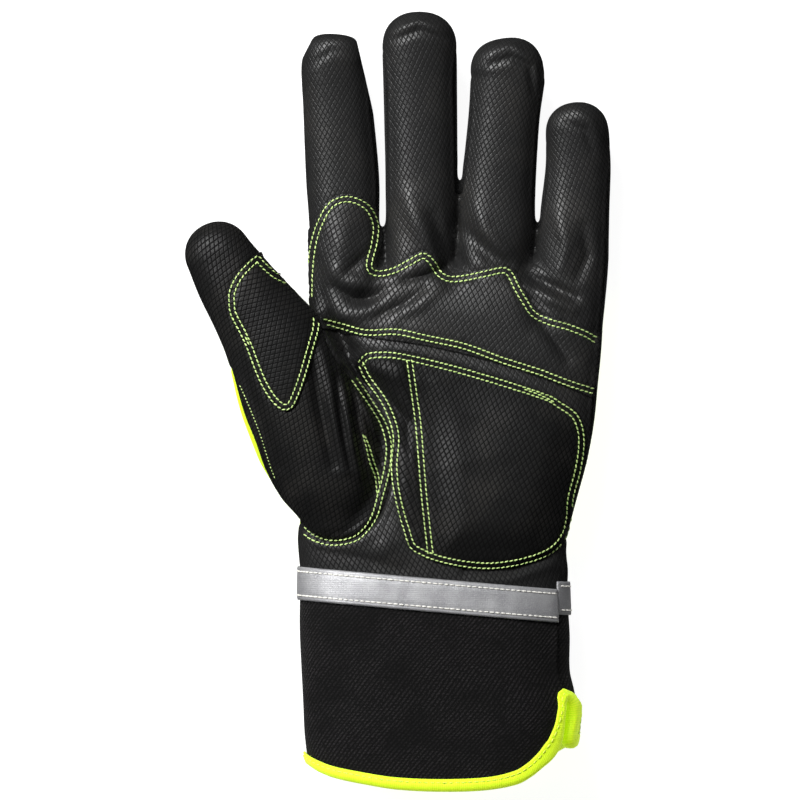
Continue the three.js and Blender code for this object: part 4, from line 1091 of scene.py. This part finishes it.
# Reinforcements: the palm's own surface inside an outline, raised by its leather, a softened
# edge, and a crown of foam where it is padded
patches = {
    "upper_palm_patch": {
        "piece": "upper_palm_leather_patch", "on": "palm_panel", "looks": leather, "fill": 0.2,
        "thick": 1.1, "crown": 0.35, "inset": 5, "turn": 10.7, "steepest": 0.02,
        "outline": [
            (-34, 27.5), (-35.6, 40), (-35, 52), (-31.6, 63), (-25.9, 71.8), (-18.7, 74.4),
            (-10.8, 71.2), (-6.8, 63.2), (-7.2, 56), (-9.1, 49.4), (-8.4, 47.8), (-6.2, 47.5),
            (-2.2, 48.7), (2.4, 51.2), (8.5, 54), (13.1, 50.9), (15.6, 47), (18.2, 45.5),
            (23.3, 45.8), (30.2, 47.3), (37.1, 48.6), (40.9, 46.9), (43.6, 41.6), (46.3, 37),
            (49.4, 32.3), (54.7, 29.9), (61.5, 28), (68.4, 25.1), (76, 22),
            (75, 0.5), (57.6, 5.4), (43.2, 10.8), (25.2, 15.8), (7.2, 19.8), (-10.8, 22.2),
            (-21.6, 24.5),
        ],
    },
    "heel_pad": {
        "piece": "heel_leather_pad", "on": "palm_panel", "looks": dullLeather, "fill": 0.5,
        "thick": 1.1, "crown": 2.8, "inset": 2.5, "turn": 12.5, "steepest": 0.02,
        "divider": [  # two rows of stitches hold the foam down
            (5.1, 14.8), (6.8, 2.9), (8.4, -8.6), (9.5, -22.7), (10.3, -32.8), (11.8, -46.8),
            (12.8, -55.4),
        ],
        "outline": [
            (-15.8, 13), (-12.6, 17), (-6, 18.2), (2, 17.6), (15, 14.6), (32, 9.6), (51, 3.2),
            (59, -0.8), (64.2, -5.6), (66.6, -12), (66.8, -18.6), (64.8, -27.6), (62, -37),
            (59.4, -46), (54.5, -54), (47.2, -58.4), (36.2, -60.6), (26, -60.6), (15, -59),
            (8, -56.2), (3, -51.6), (1, -46), (-0.4, -38), (-2.2, -30), (-2.8, -21),
            (-2.2, -13), (-4.2, -6), (-8.6, 1.6), (-13.6, 8),
        ],
    },
    "thumb_patch": {
        "piece": "thumb_leather_patch", "on": "thumb_panel", "looks": dullLeather, "fill": 0.2,
        "thick": 1.1, "crown": 0.5, "inset": 4, "turn": 44, "steepest": 0.2,
        "outline": [
            (-50.4, 52.8), (-52.6, 52), (-55, 49.6), (-59, 45.4), (-61.4, 40), (-61.8, 34.4),
            (-60.6, 30), (-57.6, 24.6), (-53.4, 15), (-50, 6.2), (-46, -0.6), (-41.6, -4.2),
            (-38.4, -3.2), (-35.6, 2), (-33, 10), (-30, 20), (-28, 29.2), (-32, 32.4),
            (-36.8, 37.4), (-42.5, 43.3), (-46, 47), (-49.1, 50.3),
        ],
    },
}
rimShape = {"near": 3, "soft": 0.5, "low": 0.62, "foamOver": 15, "held": 1.2, "heldOver": 12}
topMeshes = [bm.copy()]
for node, patch in patches.items():
    corners = [tuple(point) for point in smoothLine(patch["outline"], 0.6, closed=True)]
    rim = treeOf(corners)

    def inPatch(points, corners=corners):
        return insideOutline(points[:, 0], points[:, 1], corners).astype(int)

    centres = faceCentres(bm)
    near = inPatch(centres).astype(bool) | (awayFrom(rim, centres * flatten) < rimShape["near"])
    facing = np.array([face.normal.z for face in bm.faces]) > patch["steepest"]
    piece = facesWhere(bm, near & facing & (faceCodes == codeOf[patch["on"]]))
    cutAlong(piece, inPatch)
    piece = facesWhere(piece, inPatch(faceCentres(piece)))
    places = placesOf(piece)
    normals = normalsOf(piece)
    toEdge = awayFrom(rim, places * flatten)
    foam = np.clip((toEdge - patch["inset"]) / rimShape["foamOver"], 0, 1)
    if "divider" in patch:
        held = treeOf([tuple(p) for p, _ in evenly(smoothLine(patch["divider"]), 0.5)])
        toHeld = awayFrom(held, places * flatten) - rimShape["held"]
        foam = np.minimum(foam, np.clip(toHeld / rimShape["heldOver"], 0, 1))
    edge = rimShape["low"] + (1 - rimShape["low"]) * (1 - np.exp(-toEdge / rimShape["soft"]))
    rise = patch["thick"] * edge + patch["crown"] * eased(foam)
    rise *= 0.15 + 0.85 * np.sqrt(np.clip(normals[:, 2] / 0.3, 0, 1))  # little on steep sides
    moveTo(piece, places + normals * rise[:, None])
    topMeshes.append(piece.copy())
    made = finished(
        patch["piece"], piece, [patch["looks"]], [node], patch["turn"],
        patch["thick"],
    )
stage("reinforcements")

for code, name in enumerate(panels):
    material, slotName, turn, pieceName = panelLooks[name]
    panel = facesWhere(bm, faceCodes == code)
    made = finished(
        pieceName, panel, [material, fleece], [name], turn, body["wall"], liningFrom=1
    )
stage("panels of the hand")


def surfaceOf(meshes):  # one tree of all that the stitches may lie on
    points, faces = [], []
    for mesh in meshes:
        start = len(points)
        mesh.verts.index_update()
        points += [vert.co.copy() for vert in mesh.verts]
        faces += [[start + vert.index for vert in face.verts] for face in mesh.faces]
        mesh.free()
    return BVHTree.FromPolygons(points, faces)


handTop = surfaceOf(topMeshes)


def stitchForm():  # one stitch of unit size, lying along z, with its own flat coordinates
    bm = bmesh.new()
    bmesh.ops.create_uvsphere(bm, u_segments=6, v_segments=6, radius=1)
    flatLayer = bm.loops.layers.uv.new("cloth")
    for face in bm.faces:
        face.smooth = True
        for loop in face.loops:
            x, y, z = loop.vert.co
            loop[flatLayer].uv = (z, math.atan2(y, x))
    return meshOf("stitch", bm)


oneStitch = stitchForm()


def addStitch(bm, centre, way, normal, length, thick):
    across = normal.cross(way).normalized()
    turned = Matrix((across, way.cross(across), way)).transposed().to_4x4()
    part = oneStitch.copy()
    part.transform(
        Matrix.Translation(centre) @ turned @ Matrix.Diagonal((thick, thick, length / 2, 1))
    )
    bm.from_mesh(part)
    bpy.data.meshes.remove(part)


def sew(name, material, stitches, surface):  # stitches laid on a surface from above
    bm = bmesh.new()
    for place, way, size in stitches:
        slant = random.uniform(-1, 1) * sewing["slant"] + sewing["lean"]
        way = Matrix.Rotation(math.radians(slant), 2) @ way
        length = sewing["length"] * random.uniform(*sewing["lengths"]) * size
        first, second = [
            surface.ray_cast(
                Vector((*(place + way * length * reach), sewing["from"])), Vector((0, 0, -1))
            )
            for reach in (-sewing["reach"], sewing["reach"])
        ]
        if None in (first[0], second[0]) or abs(first[0].z - second[0].z) > sewing["steepest"]:
            continue
        normal = (first[1] + second[1]).normalized()
        along = second[0] - first[0]
        centre = (first[0] + second[0]) / 2 + normal * sewing["lift"]
        long = min(along.length / (2 * sewing["reach"]), sewing["longest"])
        thick = sewing["thick"] * random.uniform(*sewing["thicks"]) * (0.4 + 0.6 * size)
        addStitch(bm, centre, along.normalized(), normal, long, thick)
    return finished(name, bm, [material], [])


for on, stitches in sewnPlaces.items():
    sew(f"{on}_stitches", limeThread, stitches, handTop)
stage("palm stitches")

# The cuff: a tube of canvas with a split at the outer side, laid out flat as the distance round
# from the split and y
cuff = {
    "half": 122, "wall": 2, "gap": 0.15, "parts": 60, "axis": (13, 20), "floor": 0.05,
    "keysAt": -125, "keys": 360,  # y where the way round is measured, in so many steps
    "lean": 13.3,  # how far round from the glove's side the split lies
    "back": 1.1, "backAt": -112, "backWide": 9,  # and how much less at this y
}
palmEdge = [
    (1.5, -108.7), (2.1, -110.6), (2.4, -113), (2.5, -116), (2.6, -119), (3, -122.4),
    (3.9, -125), (6.5, -128.2), (10.8, -131.1), (15, -133.9), (21.2, -136.7), (34.5, -138.7),
    (54.7, -139.2), (73.7, -138.4), (86.1, -136.8), (99.6, -134.6), (107.4, -132.6),
    (114.7, -130.6), (122, -129.4),
]
backEdge = [
    (1.5, -108.7), (2.1, -110.6), (2.5, -113), (2.6, -116), (2.6, -119), (2.7, -121.6),
    (3.6, -123.4), (6.4, -124), (10.5, -123.2), (14.7, -122.8), (19.2, -123.2), (24.2, -124.6),
    (28.7, -127.2), (35, -131.6), (41.7, -135), (51.6, -137.9), (67.9, -139.2), (83.2, -138.4),
    (93.1, -136.8), (104, -134.4), (110.2, -132.4), (116.1, -130.5), (122, -129.4),
]
splitTop = (0, -107.4)
bindingRows = table(
    "round wide", (0, 3.7), (1.5, 3.4), (2.1, 3.1), (2.45, 4), (2.6, 5), (3, 5.8), (7, 6),
    (11, 4.8), (21, 4), (35, 3.4), (122, 3),
)
sleeveCurves = {
    name: curveOf(sleeve["rows"], "y", name, -142, 50, 400) for name in sleeveColumns.split()
}


def ramp(value, start, over):  # from 0 at the start to 1
    return min(max((value - start) / over, 0), 1)


def sleevePoint(angle, y, offset):  # on the arm's tube, which waves a little between its ends
    left, right, top, bottom, ground = [
        np.interp(y, *sleeveCurves[name]) for name in sleeveColumns.split()
    ]
    wave = 0.35 * math.sin(angle * 5 + y * 0.05) * math.sin(y * 0.06 + 1.5 * math.cos(angle * 2))
    offset += wave * ramp(y, -138, 18) * ramp(-y, 70, 12)
    side, up = ovalPoint(
        angle, (right - left) / 2 + offset, (top - bottom) / 2 + offset, sleeve["power"]
    )
    height = max((top + bottom) / 2 + up, ground - offset, cuff["floor"])
    return Vector(((left + right) / 2 + side, y, height))


roundKeys, roundAngles = [0.0], [0.0]
for i in range(1, cuff["keys"] + 1):
    roundAngles.append(i / cuff["keys"] * math.pi)
    there, here = [sleevePoint(angle, cuff["keysAt"], 0) for angle in roundAngles[-2:]]
    roundKeys.append(roundKeys[-1] + (here - there).length)
roundKeys = [key * cuff["half"] / roundKeys[-1] for key in roundKeys]


def cuffPoint(distance, y, offset):
    lean = cuff["lean"] - cuff["back"] * bell(y - cuff["backAt"], cuff["backWide"])
    leant = distance + lean * (1 - abs(distance) / cuff["half"])
    angle = math.copysign(np.interp(abs(leant), roundKeys, roundAngles), leant)
    return sleevePoint(angle, y, offset)


edgeKnots = [(-distance, y) for distance, y in backEdge[::-1]] + [splitTop] + palmEdge
edgeLine = smoothLine(edgeKnots, 1.1)


def bindingWide(distance):  # 2 mm fuller at the top of its back arm
    return columnAt(bindingRows, "round", "wide", abs(distance)) + 2 * bell(distance + 1.8, 0.8)


def clothOver(columns):  # a sheet over a grid of places in the flat, its outside up
    bm = bmesh.new()
    layerU, layerV = flatLayers(bm)
    wide, tall = len(columns), len(columns[0])
    verts = bmesh.ops.create_grid(bm, x_segments=wide - 1, y_segments=tall - 1, size=1)["verts"]
    verts.sort(key=lambda v: (round(v.co.x, 5), round(v.co.y, 5)))
    for vert, (distance, y, offset) in zip(verts, [spot for column in columns for spot in column]):
        vert.co = cuffPoint(distance, y, offset)
        vert[layerU], vert[layerV] = distance, y
    bm.normal_update()
    x, z = cuff["axis"]
    centres = [(face.normal, face.calc_center_median()) for face in bm.faces]
    if sum(normal.dot(middle - Vector((x, middle.y, z))) for normal, middle in centres) < 0:
        bmesh.ops.reverse_faces(bm, faces=bm.faces)
    return bm


def alongTape(distance, line):  # y of the tape's middle, at a distance round the cuff
    return tapeY(cuffPoint(distance, tapeLine["left"], 0).x, line)


# The palm's half is raised a little along the free part of the split
freeEdge = {"raised": 0.6, "wide": 2.4, "top": -80, "topOver": 6, "end": -107, "endOver": 4}
for side, node, name in (
    (1, "cuff_palm", "cuff_canvas_palm"), (-1, "cuff_back", "cuff_canvas_back"),
):
    columns = []
    flatEnd = cuff["half"] - cuff["gap"]
    lower = [spot for spot in edgeLine if spot.x * side > -0.01][::side]
    last = len(lower) - 1
    low = 0.0
    for i, (distance, y) in enumerate(lower):
        low = min(max(abs(distance), cuff["gap"], low + 0.08), flatEnd - 0.01 * (last - i))
        top = cuff["gap"] + (flatEnd - cuff["gap"]) * i / last
        topY = alongTape(top * side, tapeLine) - cuff["gap"]
        column = []
        for n in range(cuff["parts"] + 1):
            t = n / cuff["parts"]
            place, height = (low + (top - low) * t) * side, y + (topY - y) * t
            raised = freeEdge["raised"] * ramp(-height, -freeEdge["top"], freeEdge["topOver"])
            raised *= ramp(height, freeEdge["end"], freeEdge["endOver"])
            raised *= bell(place, freeEdge["wide"]) * (side > 0)
            column.append((place, height, raised))
        columns.append(column)
    made = finished(
        name, clothOver(columns[::side]), [canvas], [node], 0, cuff["wall"]
    )
stage("cuff")

# Reflective tape round the wrist in two lengths, its long edges turned a little down, sewn on
# with a row of thick off-white thread along each. The back one starts under the palm's
tape = {
    "wide": 12, "thick": 0.7, "clear": 0.45, "rowInset": 1.7, "pitch": 2.3, "thread": 0.34,
    "columns": 140, "rows": 16, "edgeDown": 0.3, "startDown": 0.35, "startWide": 7,
    "short": 0.2, "threadFrom": 1.2, "threadShort": 1, "sunk": 0.05,
}
tapes = (
    (1, "tape_palm", "reflective_tape_palm", tapeLine),
    (-1, "tape_back", "reflective_tape_back", backTapeLine),
)
for side, node, name, line in tapes:
    columns = []
    start, reach = side * cuff["gap"], side * (cuff["half"] - tape["short"])
    for n in range(tape["columns"] + 1):
        distance = start + (reach - start) * n / tape["columns"]
        middle = alongTape(distance, line)
        column = []
        for m in range(tape["rows"] + 1):
            across = m / tape["rows"] * 2 - 1
            raised = tape["clear"] + tape["thick"] - tape["edgeDown"] * abs(across) ** 10
            raised += 0.05 * math.sin(distance * 0.55) * math.sin(distance * 0.23 + across)
            raised -= tape["startDown"] * bell(distance, tape["startWide"]) * (side < 0)
            toRow = abs(abs(across) - 1) * tape["wide"] / 2 - tape["rowInset"]
            raised -= (0.2 + 0.08 * math.sin(distance * 2.7)) * bell(toRow, 0.7)
            column.append((distance, middle + across * tape["wide"] / 2, raised))
        columns.append(column)
    made = finished(
        name, clothOver(columns), [reflective], [node], 0, tape["thick"]
    )


def sewRound(bm, spots, length, thick, lift):  # stitches along places on the cuff in the flat
    for (distance, y), (nextDistance, nextY) in zip(spots, spots[1:]):
        first, second = cuffPoint(distance, y, lift), cuffPoint(nextDistance, nextY, lift)
        under = cuffPoint((distance + nextDistance) / 2, (y + nextY) / 2, lift - 1)
        centre = (first + second) / 2
        long = length * random.uniform(*sewing["roundLengths"])
        wide = thick * random.uniform(*sewing["roundThicks"])
        normal = (centre - under).normalized()
        addStitch(bm, centre, (second - first).normalized(), normal, long, wide)
    for v in bm.verts:
        v.co.z = max(v.co.z, cuff["floor"])


for side, node, _, line in tapes:
    bm = bmesh.new()
    start, reach = side * tape["threadFrom"], side * (cuff["half"] - tape["threadShort"])
    count = int(abs(reach - start) / tape["pitch"])
    distances = [start + (reach - start) * n / count for n in range(count + 1)]
    for row in (-1, 1):
        shift = row * (tape["wide"] / 2 - tape["rowInset"])
        spots = [(distance, alongTape(distance, line) + shift) for distance in distances]
        lift = tape["clear"] + tape["thick"] - tape["sunk"]
        sewRound(bm, spots, tape["pitch"] * 0.98, tape["thread"], lift)
    finished(f"{node}_thread", bm, [whiteThread], [])
stage("reflective tape")

# Binding folded over the cuff's edge, with a row of its own thread. It is puffed up at the top
# of the split and pressed flat just below
binding = {
    "thick": 0.8, "clear": 0.45, "pitch": 2.6, "threadInset": 1.3, "thread": 0.26,
    "puff": 1.2, "puffAt": -109.5, "puffWide": 5, "puffRight": 1.6,
    "tight": 0.6, "tightAt": -114.5, "tightWide": 4, "tightRight": 2.7,
}
section, wall = binding["thick"] + binding["clear"], cuff["wall"]
rings, flat = [], []
travelled = 0.0
for i, spot in enumerate(edgeLine[:-1]):
    way = (edgeLine[i + 1] - edgeLine[max(i - 1, 0)]).normalized()
    travelled += (edgeLine[i + 1] - spot).length
    wide = bindingWide(spot.x)
    puff = 0.12 * math.sin(travelled * 1.7) + 0.1 * math.sin(travelled * 0.7)
    if spot.x < binding["puffRight"]:
        puff += binding["puff"] * bell(spot.y - binding["puffAt"], binding["puffWide"])
    tight = binding["tight"] * bell(spot.y - binding["tightAt"], binding["tightWide"])
    tight *= abs(spot.x) < binding["tightRight"]
    shape = [  # the section, each corner's distance in from the edge and out from the canvas
        (wide, binding["clear"]), (wide, section * 0.8), (wide - 0.5, section),
        (wide - 1.3, section - 0.2), (wide * 0.55, section + puff + 0.1),
        (0.6, section + 0.25 * puff), (tight - 0.5, section * 0.8), (tight - section, 0),
        (tight - section - 0.1, -wall / 2), (-section, -wall - section * 0.15),
        (-0.5, -wall - section * 0.9), (0.6, -wall - section), (wide * 0.5, -wall - section),
        (wide - 0.5, -wall - section), (wide, -wall - section * 0.8),
        (wide, -wall - binding["clear"]), (-binding["clear"], -wall - binding["clear"]),
        (-binding["clear"], binding["clear"]),
    ]
    ring = []
    for n, (inset, offset) in enumerate(shape):
        distance = spot.x - way.y * inset
        if abs(distance) > cuff["half"]:
            distance -= 2 * cuff["half"] * math.copysign(1, distance)
        ring.append(cuffPoint(distance, spot.y + way.x * inset, offset))
        flat.append((travelled, float(n)))
    rings.append(ring)
bm = bmesh.new()
layerU, layerV = flatLayers(bm)
for vert, (u, v) in zip(loft(bm, rings, closed=True), flat):
    vert[layerU], vert[layerV] = u, v
bmesh.ops.recalc_face_normals(bm, faces=bm.faces)
bindingPiece = finished("cuff_edge_binding", bm, [bindingCloth], ["cuff_binding"])
bm = bmesh.new()
spots = []
for spot, before, after in zip(edgeLine[1:-1], edgeLine, edgeLine[2:]):
    way = (after - before).normalized()
    inset = bindingWide(spot.x) - binding["threadInset"]
    spots.append(Vector((spot.x - way.y * inset, spot.y + way.x * inset)))
spots = [tuple(place) for place, _ in evenly(spots, binding["pitch"])]
sewRound(bm, spots, binding["pitch"] * 0.86, binding["thread"], section + 0.02)
finished("cuff_binding_thread", bm, [yellowThread], [])
stage("binding")
